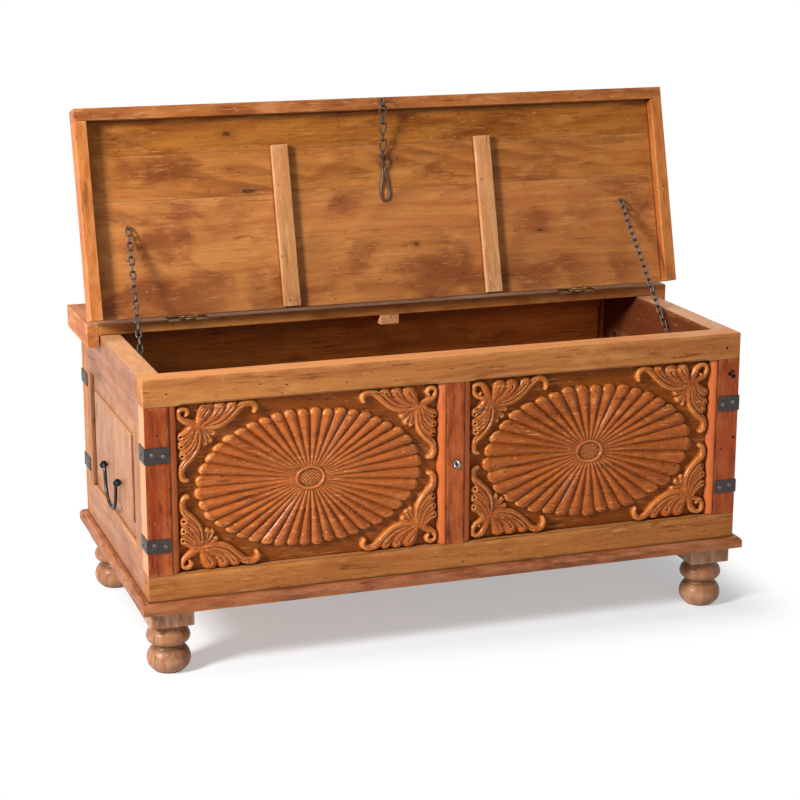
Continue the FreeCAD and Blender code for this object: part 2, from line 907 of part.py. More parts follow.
def stay_parts(top_inset):
    """The upper and lower half, eye and screw of one stay, at the left end."""
    top = opened_point(top_inset, hinge_line - stay_reach, carcass_height - stay_stand_off)
    screw = vec(stay_bottom_inset, stay_bottom_y, stay_bottom_z)
    way = (screw - top).normalize()
    reach = (screw - top).Length + stay_screw_radius + stay_screw_clearance + stay_wire
    side_a = (X_AXIS - way * X_AXIS.dot(way)).normalize()
    side_b = way.cross(side_a)
    lap = 2 * stay_wire - stay_bite
    gap = stay_middle_gap + stay_bite
    pitch = (reach - lap + gap) / stay_links
    upper, lower = [], []
    for i in range(stay_links):
        below = i >= stay_links // 2
        side, normal = (side_a, side_b) if i % 2 == 0 else (side_b, side_a)
        start = top + way * (pitch * i - (gap if below else 0.0))
        half = stay_link_half_width
        path = link_path(start, way, side, side, pitch + lap, half, half)
        (lower if below else upper).append(tube(path, stay_wire, link_sides, normal, True))
    inner = stay_wire + stay_eye_clearance
    middle = vec(top_inset, hinge_line - stay_reach, carcass_height - stay_stand_off)
    centres = ring_path(middle, Y_AXIS, Z_AXIS, inner + stay_eye_wire, eye_sides)
    ring = tube(centres, stay_eye_wire, wire_sides, X_AXIS, True)
    stem_low = middle.z + inner + stay_eye_wire / 2.0
    half = stay_eye_stem
    stem = box(middle.x - half, middle.x + half, middle.y - half, middle.y + half, stem_low, carcass_height)
    eye = opened(joined([ring, stem]))
    neck = stay_bottom_inset + stay_screw_room - end_thickness
    start = vec(end_thickness, stay_bottom_y, stay_bottom_z)
    shank = rod(start, X_AXIS, neck, stay_screw_radius, screw_sides)
    head = rod(start + X_AXIS * neck, X_AXIS, stay_screw_head_height, stay_screw_head_radius, screw_sides)
    return upper, lower, eye, joined([shank, head])


def build_stays():
    """Chains that hold the lid open: flat links, each turned a quarter from the last.

    The top link hangs in an eye under the lid and the last one goes round a
    screw in the chest's end. Each chain is two halves that meet halfway.
    """
    eyes, screws = [], []
    for side, inset in zip(("left", "right"), stay_top_insets):
        upper, lower, eye, screw = stay_parts(inset)
        shapes = [Part.makeCompound(upper), Part.makeCompound(lower), eye, screw]
        if side == "right":
            shapes = [mirrored(shape) for shape in shapes]
        place("stay_chain_upper_" + side, shapes[0])
        place("stay_chain_lower_" + side, shapes[1])
        eyes.append(shapes[2])
        screws.append(shapes[3])
    place("stay_eyes", Part.makeCompound(eyes))
    place("stay_screws", Part.makeCompound(screws))


def build_hasp():
    """Eye, three twisted links and a long loop that hang from the lid's front lip.

    Each link's wide head faces the front and its narrow tail is turned a
    quarter, so that the next head goes through it.
    """
    eye_y = -(lip_clearance + lip_thickness) + hasp_setback
    eye_z = lip_low - hasp_stand_off
    centres = ring_path(vec(length_mid, eye_y, eye_z), Y_AXIS, Z_AXIS, hasp_eye_radius, hasp_eye_sides)
    ring = tube(centres, hasp_wire, wire_sides, X_AXIS, True)
    stem_low = eye_z + hasp_eye_radius
    stem = box(
        length_mid - hasp_wire,
        length_mid + hasp_wire,
        eye_y - hasp_wire,
        eye_y + hasp_wire,
        stem_low,
        lip_low,
    )
    place("hasp_staple", opened(joined([ring, stem])))
    down = vec(0, 0, -1)
    drop = 2 * hasp_wire + hasp_clearance
    pivot = opened_point(length_mid, eye_y, eye_z) + down * (hasp_eye_radius - drop)
    lap = 2 * hasp_wire - hasp_bite
    pitch = hasp_link_length - lap
    links = []
    for i in range(hasp_link_count):
        path = link_path(
            pivot + down * (pitch * i),
            down,
            X_AXIS,
            Y_AXIS,
            hasp_link_length,
            hasp_head_half_width,
            hasp_tail_half_width,
        )
        links.append(bent_tube(path, hasp_wire, wire_sides))
    place("hasp_links", Part.makeCompound(links))
    loop_pivot = pivot + down * (pitch * hasp_link_count + lap - drop)
    board = opened_point(length_mid, 0, carcass_height)
    away = (opened_point(length_mid, 0, 0) - board).normalize()
    room = (loop_pivot - board).dot(away) - hasp_wire - loop_rest_gap
    tilt = math.radians(open_angle - 90.0) - math.asin(room / loop_length)
    lean = vec(0, -math.sin(tilt), -math.cos(tilt))
    normal = lean.cross(X_AXIS).normalize()
    points = []
    for sign, shares in ((1.0, loop_shape_shares), (-1.0, loop_shape_shares[::-1])):
        for along, half in shares:
            down_loop = loop_pivot + lean * (along * loop_length)
            points.append(down_loop + X_AXIS * (sign * half * loop_half_width))
    place("hasp_loop", tube(points, hasp_wire, wire_sides, normal, True))


def build_lock_eye():
    """The lug on the muntin that the loop drops over, bored for a padlock."""
    half = lock_lug_height / 2.0
    x = length_mid - lock_lug_thickness / 2.0
    nose = half - lock_lug_reach
    outline = [vec(x, 0, lock_lug_z - half), vec(x, 0, lock_lug_z + half)]
    for k in range(lug_steps + 1):
        turn = math.pi / 2 - math.pi * k / lug_steps
        outline.append(vec(x, nose - half * math.cos(turn), lock_lug_z + half * math.sin(turn)))
    lug = prism(outline, vec(lock_lug_thickness, 0, 0))
    start = vec(x - cut_overrun, nose, lock_lug_z)
    hole = Part.makeCylinder(lock_hole_radius, lock_lug_thickness + 2 * cut_overrun, start, X_AXIS)
    place("lock_eye", lug.cut(hole))


def build_handles():
    """A drop handle on each end: two eyes and a swinging bail."""
    x = -handle_stand_off
    near, far = depth_mid - handle_spacing / 2.0, depth_mid + handle_spacing / 2.0
    points = [vec(x, near - handle_stub, handle_z), vec(x, near + handle_eye_wire * 2, handle_z)]
    for across, drop in handle_shape_shares:
        points.append(vec(x, near + across * handle_spacing, handle_z - drop * handle_drop))
    points += [vec(x, 2 * depth_mid - p.y, p.z) for p in points[::-1]]
    bail = tube(points, handle_wire, handle_sides, X_AXIS, False)
    place("handle_bail_left", bail)
    place("handle_bail_right", mirrored(bail))
    inner = handle_wire + handle_eye_clearance
    eyes = []
    for y in (near, far):
        centre = vec(x, y, handle_z)
        centres = ring_path(centre, X_AXIS, Z_AXIS, inner + handle_eye_wire, handle_eye_sides)
        ring = tube(centres, handle_eye_wire, wire_sides, Y_AXIS, True)
        half = handle_stem_radius
        stem = box(
            x + inner + handle_eye_wire,
            end_field_recess,
            y - half / 2.0,
            y + half / 2.0,
            handle_z - half,
            handle_z + half,
        )
        eye = joined([ring, stem])
        eyes += [eye, mirrored(eye)]
    place("handle_eyes", Part.makeCompound(eyes))


def build_straps():
    """Bent iron straps nailed round the corner posts, two at each corner."""
    t = strap_thickness
    straps = []
    down, height = strap_front_high_band
    for low, tall in (strap_front_low_band, (carcass_height - down, height)):
        face = box(-t, strap_front_length, -t, 0, low, low + tall)
        wrap = box(-t, 0, -t, strap_side_length, low, low + tall)
        straps.append(joined([face, wrap]))
    down, height = strap_rear_high_band
    for low, tall in (strap_rear_low_band, (carcass_height - down, height)):
        face = box(-t, strap_front_length, chest_depth, chest_depth + t, low, low + tall)
        wrap = box(-t, 0, chest_depth - strap_rear_length, chest_depth + t, low, low + tall)
        straps.append(joined([face, wrap]))
    straps += [mirrored(strap) for strap in straps]
    place("corner_straps", Part.makeCompound(straps))


build_front()
build_ends()
build_back()
build_base()
build_feet()
build_ledge()
build_lid()
build_hinges()
build_stays()
build_hasp()
build_lock_eye()
build_handles()
build_straps()

os.makedirs("parts", exist_ok=True)
for name, shape in nodes.items():
    shape.exportStep("parts/" + name + ".step")
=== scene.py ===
import json
import math
import random

import bmesh
import bpy
import numpy as np
from mathutils import Matrix, Vector
from mathutils.kdtree import KDTree


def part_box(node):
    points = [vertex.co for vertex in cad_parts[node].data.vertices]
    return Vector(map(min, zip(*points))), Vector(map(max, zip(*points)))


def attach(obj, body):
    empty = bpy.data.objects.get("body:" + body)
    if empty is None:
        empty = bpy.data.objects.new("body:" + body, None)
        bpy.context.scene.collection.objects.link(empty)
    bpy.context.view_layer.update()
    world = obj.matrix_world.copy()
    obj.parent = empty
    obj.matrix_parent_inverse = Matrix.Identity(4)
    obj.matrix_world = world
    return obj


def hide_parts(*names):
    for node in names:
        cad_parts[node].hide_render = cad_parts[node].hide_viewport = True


# Dressing of the carved dowry chest. Metres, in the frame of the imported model:
# X along the chest, the carved front faces -Y, +Z up, origin on the floor.

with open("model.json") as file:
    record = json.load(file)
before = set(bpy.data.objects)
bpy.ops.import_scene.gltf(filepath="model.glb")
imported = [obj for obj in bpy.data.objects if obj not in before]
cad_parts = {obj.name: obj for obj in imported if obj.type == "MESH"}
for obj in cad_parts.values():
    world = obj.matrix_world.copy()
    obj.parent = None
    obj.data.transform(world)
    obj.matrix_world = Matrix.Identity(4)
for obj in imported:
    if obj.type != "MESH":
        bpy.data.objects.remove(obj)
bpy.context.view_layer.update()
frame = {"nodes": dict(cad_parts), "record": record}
MM = 0.001
JOINTS = {joint["name"]: joint for joint in frame["record"]["behaviour"]["joints"]}
BODY_OF = {}
for body, members in frame["record"]["behaviour"]["bodies"].items():
    for member in members:
        BODY_OF[member] = body

HINGE = Vector(JOINTS["lid_hinge"]["pos_m"])
OPEN_ANGLE = math.radians(105.0)
CLOSE = (
    Matrix.Translation(HINGE)
    @ Matrix.Rotation(OPEN_ANGLE, 4, "X")
    @ Matrix.Translation(-HINGE)
)
OPEN = CLOSE.inverted()
X_AXIS = Vector((1, 0, 0))
Y_AXIS = Vector((0, 1, 0))
Z_AXIS = Vector((0, 0, 1))


# Camera

CAMERA_PLACE = (-1.33196, -3.81264, 1.46219)
CAMERA_TILT = math.radians(90.0) - 0.2539
CAMERA_TURN = -0.3342
CAMERA_LENS_MM = 92.32

camera_data = bpy.data.cameras.new("camera")
camera_data.lens = CAMERA_LENS_MM
camera_data.sensor_width = 36.0
camera_data.clip_end = 60.0
camera = bpy.data.objects.new("camera", camera_data)
camera.location = CAMERA_PLACE
camera.rotation_euler = (CAMERA_TILT, 0.0, CAMERA_TURN)
bpy.context.scene.collection.objects.link(camera)
bpy.context.scene.camera = camera


# Mesh helpers


def add_object(name, data):
    obj = bpy.data.objects.new(name, data)
    bpy.context.scene.collection.objects.link(obj)
    return obj


def mesh_from_arrays(name, verts, faces, smooth=True):
    """A mesh from an (n, 3) array of places and an (m, 4) array of corners."""
    verts = np.asarray(verts, np.float32)
    faces = np.asarray(faces, np.int32)
    mesh = bpy.data.meshes.new(name)
    mesh.vertices.add(len(verts))
    mesh.vertices.foreach_set("co", verts.ravel())
    mesh.loops.add(faces.size)
    mesh.loops.foreach_set("vertex_index", faces.ravel())
    mesh.polygons.add(len(faces))
    mesh.polygons.foreach_set("loop_start", np.arange(len(faces), dtype=np.int32) * faces.shape[1])
    mesh.polygons.foreach_set("use_smooth", np.full(len(faces), smooth))
    mesh.update(calc_edges=True)
    mesh.validate()
    return mesh


def smooth_mesh(work, name, mend=False):
    """The finished bmesh as a smooth mesh."""
    if mend:
        bmesh.ops.recalc_face_normals(work, faces=work.faces)
    for face in work.faces:
        face.smooth = True
    mesh = bpy.data.meshes.new(name)
    work.to_mesh(mesh)
    work.free()
    return mesh


def bisect(work, place, normal):
    """Cuts a plane's line into all faces."""
    bmesh.ops.bisect_plane(
        work, geom=work.verts[:] + work.edges[:] + work.faces[:], dist=1e-6,
        plane_co=place, plane_no=normal,
    )


def put_float(mesh, name, values):
    layer = mesh.attributes.new(name, "FLOAT", "POINT")
    layer.data.foreach_set("value", np.asarray(values, np.float32).ravel())


def seeded(name):
    """A random source that depends only on the piece's name."""
    return random.Random("chest:" + name)


GRAIN_ORDER = {"x": (0, 1, 2), "y": (1, 2, 0), "z": (2, 0, 1)}
# Painted shade: the lid's front board, at the top when the lid stands open, is darker (below nought) and its
# rear board lighter than their neighbours.
BOARD_SHADE_TONES = {"lid_board_front": -2.6, "lid_board_rear": 1.0}


def put_grain(mesh, name, along):
    """Gives a mesh the wood's own coordinates, first along the grain, and returns its points."""
    points = np.zeros((len(mesh.vertices), 3), np.float32)
    mesh.vertices.foreach_get("co", points.ravel())
    source = seeded(name)
    grain = points[:, GRAIN_ORDER[along]].copy()
    grain += np.array([source.uniform(-9, 9), source.uniform(-0.5, 0.5), source.uniform(-0.5, 0.5)])
    layer = mesh.attributes.new("grain", "FLOAT_VECTOR", "POINT")
    layer.data.foreach_set("vector", np.asarray(grain, np.float32).ravel())
    put_float(mesh, "tone", np.full(len(points), source.uniform(-1, 1) + BOARD_SHADE_TONES.get(name, 0.0)))
    return points


def stand_in(obj, node, material, weight=None, crisp=False):
    """The piece stands for a CAD solid: its material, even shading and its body."""
    obj.data.materials.append(MATERIALS[material])
    if weight:
        normals = obj.modifiers.new("normals", "WEIGHTED_NORMAL")
        normals.keep_sharp = crisp
        normals.weight = weight
    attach(obj, BODY_OF[node])
    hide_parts(node)


# Materials


class Nodes:
    """A short way to write the node tree of a material or of the world."""

    def __init__(self, owner):
        owner.use_nodes = True
        self.owner = owner
        self.tree = owner.node_tree

    def put(self, target, value):
        if hasattr(value, "is_linked"):
            self.tree.links.new(value, target)
        else:
            target.default_value = value

    def node(self, kind, inputs, out=0, **settings):
        """One output of a new node, whose inputs are given by name or by number."""
        node = self.tree.nodes.new(kind)
        for key, value in settings.items():
            setattr(node, key, value)
        for key, value in inputs.items():
            self.put(node.inputs[key], value)
        return node.outputs[out]

    def shade(self, **values):
        """Values and links of the shader, by input name with _ for a space."""
        for key, value in values.items():
            self.put(self.tree.nodes["Principled BSDF"].inputs[key.replace("_", " ")], value)

    def place(self):
        return self.node("ShaderNodeTexCoord", {}, "Object")

    def attribute(self, name, out="Fac"):
        return self.node("ShaderNodeAttribute", {}, out, attribute_type="GEOMETRY", attribute_name=name)

    def math(self, operation, *values):
        return self.node("ShaderNodeMath", dict(enumerate(values)), operation=operation)

    def times(self, a, b):
        return self.math("MULTIPLY", a, b)

    def mad(self, a, b, c):
        """a * b + c"""
        return self.math("MULTIPLY_ADD", a, b, c)

    def vector(self, operation, *values):
        return self.node("ShaderNodeVectorMath", dict(enumerate(values)), operation=operation)

    def stretch(self, vector, factors):
        return self.vector("MULTIPLY", vector, factors)

    def length(self, vector):
        return self.node("ShaderNodeVectorMath", {0: vector}, "Value", operation="LENGTH")

    def noise(self, vector, scale=1.0, detail=2.0, rough=0.5, distortion=0.0, out="Fac"):
        inputs = {"Vector": vector, "Scale": scale, "Detail": detail, "Roughness": rough}
        inputs["Distortion"] = distortion
        return self.node("ShaderNodeTexNoise", inputs, out, noise_dimensions="3D")

    def grained(self, vector, along, across, detail=2.0, rough=0.5, distortion=0.0, out="Fac"):
        """Noise that is drawn out along the grain."""
        return self.noise(self.stretch(vector, (along, across, across)), 1.0, detail, rough, distortion, out)

    def sway(self, vector, along, across, rough, reach):
        """A soft random push to all sides."""
        colour = self.grained(vector, along, across, 2.0, rough, 0.0, "Color")
        push = self.vector("SUBTRACT", colour, (0.5, 0.5, 0.5))
        return self.node("ShaderNodeVectorMath", {0: push, "Scale": reach}, operation="SCALE")

    def spots(self, vector, along, across):
        """Distance from the nearest of many scattered points."""
        inputs = {"Vector": self.stretch(vector, (along, across, across)), "Scale": 1.0}
        return self.node("ShaderNodeTexVoronoi", inputs, "Distance", feature="F1")

    def span(self, value, low, high, out_low=0.0, out_high=1.0):
        """A soft step between two values."""
        inputs = {"Value": value, "From Min": low, "From Max": high, "To Min": out_low, "To Max": out_high}
        return self.node("ShaderNodeMapRange", inputs, "Result", interpolation_type="SMOOTHSTEP")

    def mix(self, factor, a, b):
        a, b = ((*value, 1.0) if isinstance(value, tuple) else value for value in (a, b))
        inputs = {"Factor": factor, 6: a, 7: b}
        return self.node("ShaderNodeMix", inputs, 2, data_type="RGBA", blend_type="MIX", clamp_factor=True)

    def parts(self, vector):
        """The X, Y and Z outputs of a vector."""
        return self.node("ShaderNodeSeparateXYZ", {0: vector}).node.outputs

    def bump(self, height, strength, distance):
        return self.node("ShaderNodeBump", {"Height": height, "Strength": strength, "Distance": distance})

    def glow(self, kind, colour, strength):
        """A shader that gives light of one colour."""
        return self.node(kind, {"Color": (*colour, 1.0), "Strength": strength})

    def rays(self, *kinds):
        """1 for rays of the named kinds."""
        outputs = self.node("ShaderNodeLightPath", {}).node.outputs
        share = outputs[kinds[0]]
        for kind in kinds[1:]:
            share = self.math("MAXIMUM", share, outputs[kind])
        return share

    def blend(self, share, first, second, target):
        """Two shaders mixed by a share, linked to the output."""
        mixed = self.node("ShaderNodeMixShader", {0: share, 1: first, 2: second})
        self.put(self.tree.nodes[target].inputs["Surface"], mixed)


def srgb(red, green, blue):
    """A colour written as 0 to 255 picture values, as the renderer wants it."""
    return tuple((value / 255.0 / 12.92) if value < 10.3 else ((value / 255.0 + 0.055) / 1.055) ** 2.4
                 for value in (red, green, blue))


WAX = (0.056, 0.018, 0.003)
KNOT_HEART = (0.055, 0.020, 0.008)
SPECK_DIRT = (0.030, 0.012, 0.006)
QUIRK_SHADE = (0.045, 0.018, 0.008)
SEAM_SHADE_AND_DIRT = (0.040, 0.017, 0.008)
GRIME = (0.055, 0.024, 0.010)
CHALK = (0.36, 0.20, 0.14)
COAT_ROUGH = 0.24
SEAM_SHADE_REACH = 6.0 * MM
END_FACE_X = (0.5975, 0.599)
OVOLO_INNER_X = (0.0185, 0.0200)
OVOLO_OUTER_X = (0.5520, 0.5535)
QUIRK_HALF = (0.0004, 0.0026)


def wood(
    name, light, mid, dark, stain, worn, streaks, cloudy, wear, fleck, rough,
    rings=90.0, ring_strength=0.22, knots=(), sway=0.05, grain_bump=0.4, specular=0.16, coat=0.0, wax=None,
    fade=0.0, seams=0.8, quirks=(), inside_shade=None, side_sheen=None, top_light=None, ovolo_highlight=None,
):
    """Oiled hardwood: fibres, broken streaks, mottling, knots, rubbed edges, painted shade with soiling in
    the seams, and painted light, sheen and shade by which way a face looks.
    """
    light, mid, dark, stain, worn = (srgb(*colour) for colour in (light, mid, dark, stain, worn))
    n = Nodes(bpy.data.materials.new(name))
    grain = n.attribute("grain", "Vector")
    tone = n.attribute("tone")
    place = n.place()
    bend = n.vector("ADD", n.sway(grain, 1.2, 5.0, 0.5, sway), n.sway(grain, 8.0, 36.0, 0.55, 0.009))
    bent = n.vector("ADD", grain, bend)
    hearts = []
    for spot, half_long, half_wide in knots:
        away = n.vector("SUBTRACT", place, tuple(value * MM for value in spot))
        sizes = (1.0 / (half_long * MM), 1.0 / (half_wide * MM), 1.0 / (half_wide * MM))
        away = n.length(n.stretch(away, sizes))
        away = n.math("ADD", away, n.mad(n.noise(place, 160.0, 3.0, 0.6), 0.9, -0.45))
        push = n.times(n.span(away, 0.0, 4.5, 1.0, 0.0), half_wide * MM * 1.6)
        bent = n.vector("ADD", bent, n.node("ShaderNodeCombineXYZ", {"Y": push, "Z": push}))
        hearts.append(away)

    # Year rings, fibres, clouds, patches and broken dark dashes, then the board's own tone and the knots
    radius = n.length(n.vector("ADD", n.stretch(bent, (0.14, 1.0, 1.0)), (0.0, 0.06, 0.11)))
    saw = n.math("FRACT", n.times(radius, rings))
    ring = n.times(n.span(saw, 0.0, 0.82), n.span(saw, 0.86, 1.0, 1.0, 0.0))
    ring = n.times(ring, n.span(n.grained(grain, 2.4, 12.0, 3.0), 0.42, 0.66))
    fibre = n.grained(bent, 8.0, 380.0, 3.0, 0.62)
    band = n.grained(bent, 2.0, 48.0, 4.0, 0.6)
    cloud = n.grained(grain, 6.0, 10.0, 5.0, 0.6, 0.5)
    patch = n.grained(grain, 9.0, 26.0, 4.0, 0.6)
    broken = n.grained(grain, 13.0, 30.0, 3.0, 0.6)
    dashes = n.times(n.span(n.grained(bent, 10.0, 170.0), 0.56, 0.68), n.span(broken, 0.44, 0.62))
    base = n.mix(n.span(band, 0.32, 0.7), light, mid)
    base = n.mix(n.times(ring, ring_strength), base, dark)
    base = n.mix(n.span(fibre, 0.42, 0.78, 0.0, 0.38), base, dark)
    base = n.mix(n.times(n.span(cloud, 0.46, 0.70), cloudy), base, stain)
    base = n.mix(n.times(n.span(patch, 0.56, 0.74), 0.45), base, worn)
    base = n.mix(n.times(dashes, streaks), base, tuple(value * 0.45 for value in dark))
    shift = {"Color": base, "Value": n.mad(tone, 0.06, 1.0), "Saturation": n.mad(tone, -0.012, 1.0)}
    base = n.node("ShaderNodeHueSaturation", shift)
    for away in hearts:
        base = n.mix(n.span(away, 1.2, 3.2, 0.55, 0.0), base, stain)
        base = n.mix(n.span(away, 0.55, 1.15, 0.9, 0.0), base, KNOT_HEART)

    # Pores, dirty specks and chips
    pore = n.span(n.grained(bent, 60.0, 1100.0, 1.0), 0.63, 0.74)
    base = n.mix(n.times(pore, 0.35 * fleck), base, tuple(value * 0.35 for value in dark))
    speck = n.times(n.span(n.spots(grain, 34.0, 78.0), 0.05, 0.14, 1.0, 0.0), n.span(patch, 0.44, 0.54))
    base = n.mix(n.times(speck, 0.9 * fleck), base, SPECK_DIRT)
    chip = n.spots(n.vector("ADD", grain, (3.1, 1.7, 0.9)), 52.0, 110.0)
    chip = n.times(n.span(chip, 0.08, 0.19, 1.0, 0.0), n.span(broken, 0.46, 0.58))
    base = n.mix(n.times(chip, 0.6 * fleck), base, worn)

    # Painted light and shade by facing and place: sheen on outer end faces, light on upward faces, highlights
    # with rubbed wear on ovolos, shade in quirks and on faces that look into the chest
    facing = n.parts(n.node("ShaderNodeNewGeometry", {}, "True Normal"))
    where = n.parts(place)
    sideways = n.math("ABSOLUTE", where["X"])
    rub = n.grained(grain, 18.0, 70.0, 4.0, 0.65)
    # Painted sheen: outer side faces at the chest's ends get a light, pinkish colour, as glare would give.
    if side_sheen is not None:
        outer = n.times(n.span(sideways, *END_FACE_X), n.span(n.math("ABSOLUTE", facing["X"]), 0.6, 0.9))
        base = n.mix(n.times(outer, 0.85), base, srgb(*side_sheen))
    # Painted light: faces that look up get a lighter colour, as if lit from above, broken by rubbed wear.
    if top_light is not None:
        upward = n.times(n.span(facing["Z"], 0.7, 0.95), n.span(rub, 0.25, 0.6, 0.55, 0.95))
        base = n.mix(upward, base, srgb(*top_light))
    # Painted highlight with rubbed wear: the ovolos get a lighter colour.
    if ovolo_highlight is not None:
        ovolo = n.times(n.span(sideways, *OVOLO_INNER_X), n.span(sideways, *OVOLO_OUTER_X, 1.0, 0.0))
        base = n.mix(n.times(ovolo, n.span(rub, 0.25, 0.6, 0.45, 0.9)), base, srgb(*ovolo_highlight))
    quirk = None
    for line in quirks:
        near = n.span(n.math("ABSOLUTE", n.math("SUBTRACT", sideways, line)), *QUIRK_HALF, 1.0, 0.0)
        quirk = near if quirk is None else n.math("MAXIMUM", quirk, near)
    # Painted shade: a dark line along each quirk.
    if quirk is not None:
        base = n.mix(n.times(quirk, 0.8), base, QUIRK_SHADE)
    # Painted shade: end faces that look into the chest get a dark colour.
    if inside_shade is not None:
        inward = n.times(facing["X"], n.math("SIGN", where["X"]))
        base = n.mix(n.span(inward, -0.8, -0.4, 0.92, 0.0), base, srgb(*inside_shade))

    # Wear: scratches, rubbed edges, chalky fading and wax in the carving, then painted shade with soiling in
    # the seams
    scratch = n.grained(n.vector("ADD", grain, (0.7, 2.3, 1.1)), 26.0, 210.0)
    scratch = n.times(n.span(scratch, 0.63, 0.70), n.span(cloud, 0.40, 0.55))
    base = n.mix(n.times(scratch, 0.45 * fleck), base, worn)
    base = n.mix(n.times(n.attribute("edge"), n.span(rub, 0.36, 0.62, 0.0, wear)), base, worn)
    if fade:
        base = n.mix(n.span(n.grained(grain, 5.0, 12.0, 5.0, 0.68), 0.52, 0.70, 0.0, fade), base, CHALK)
    if wax is not None:
        base = n.mix(n.times(n.attribute("ground"), n.span(rub, 0.2, 0.7, 0.62, 0.36)), base, wax)
        base = n.mix(n.span(n.mad(rub, 0.25, n.attribute("cavity")), 0.50, 1.35, 0.0, 0.75), base, wax)
        base = n.mix(n.times(n.span(n.attribute("high"), 0.25, 1.0), wear), base, worn)
        coat = n.mad(n.attribute("ground"), -0.9 * coat, coat)
    # Painted shade with some soiling: spots hemmed in within a few millimetres, in seams, corners and under
    # edges, get darker.
    occlusion = n.node("ShaderNodeAmbientOcclusion", {"Distance": SEAM_SHADE_REACH}, "AO", samples=6)
    seam_shade_and_dirt = n.times(n.span(occlusion, 0.40, 0.92, seams, 0.0), n.span(rub, 0.2, 0.6, 0.5, 1.0))
    base = n.mix(seam_shade_and_dirt, base, SEAM_SHADE_AND_DIRT)
    base = n.mix(n.times(n.attribute("grime"), n.span(rub, 0.2, 0.7, 0.55, 1.0)), base, GRIME)

    height = n.mad(fibre, 0.6, n.times(ring, -0.2))
    reliefs = [
        (pore, -0.4), (n.grained(grain, 22.0, 40.0, 4.0, 0.6), 1.5), (dashes, -0.5), (scratch, -0.6),
        (speck, -1.2), (chip, -0.6),
    ]
    if quirk is not None:
        reliefs.append((quirk, -2.5))
    for mark, rise in reliefs:
        height = n.mad(mark, rise, height)
    n.shade(
        Base_Color=base, Roughness=n.span(n.grained(grain, 11.0, 26.0, 4.0, 0.6), 0.3, 0.72, *rough),
        Specular_IOR_Level=specular, Coat_Weight=coat, Coat_Roughness=COAT_ROUGH,
        Normal=n.bump(height, grain_bump, 0.0010),
    )
    return n.owner


def iron(name, base, rust, rust_share, rough, metal, shine=2.6, bump=0.35, specular=0.5):
    """Hand-worked iron with a little rust and rubbed high spots."""
    n = Nodes(bpy.data.materials.new(name))
    place = n.place()
    cloud = n.noise(place, 55.0, 5.0, 0.62)
    grit = n.noise(place, 420.0, 3.0, 0.6)
    colour = n.mix(n.span(cloud, 0.46, 0.66, 0.0, rust_share), base, rust)
    bright = tuple(min(1.0, value * shine + 0.02) for value in base)
    n.shade(
        Base_Color=n.mix(n.span(grit, 0.58, 0.74, 0.0, 0.4), colour, bright), Metallic=metal,
        Specular_IOR_Level=specular, Roughness=n.span(grit, 0.3, 0.7, *rough),
        Normal=n.bump(n.math("ADD", n.times(cloud, 2.0), grit), bump, 0.0005),
    )
    return n.owner


def brass(name):
    """Yellow brass, rubbed bright on the knuckle and tarnished dark on the leaves."""
    n = Nodes(bpy.data.materials.new(name))
    place = n.place()
    cloud = n.noise(place, 120.0, 4.0, 0.6)
    away = n.length(n.stretch(n.vector("SUBTRACT", place, tuple(HINGE)), (0.0, 1.0, 1.0)))
    colour = n.mix(n.span(cloud, 0.50, 0.74), srgb(232, 196, 122), srgb(140, 100, 52))
    n.shade(
        Base_Color=n.mix(n.span(away, 0.0052, 0.0072, 0.0, 0.85), colour, srgb(62, 44, 30)), Metallic=0.8,
        Roughness=n.span(cloud, 0.35, 0.65, 0.28, 0.5), Normal=n.bump(cloud, 0.2, 0.0003),
    )
    return n.owner


# Knots in the lid: (place, half length, half width)
LID_KNOTS = (
    ((-286.5, 121.1, 838.8), 20.0, 5.5), ((-321.4, 151.0, 950.2), 9.0, 5.0),
    ((57.3, 88.5, 717.2), 6.0, 3.5), ((333.2, 91.9, 729.9), 8.0, 3.0),
)
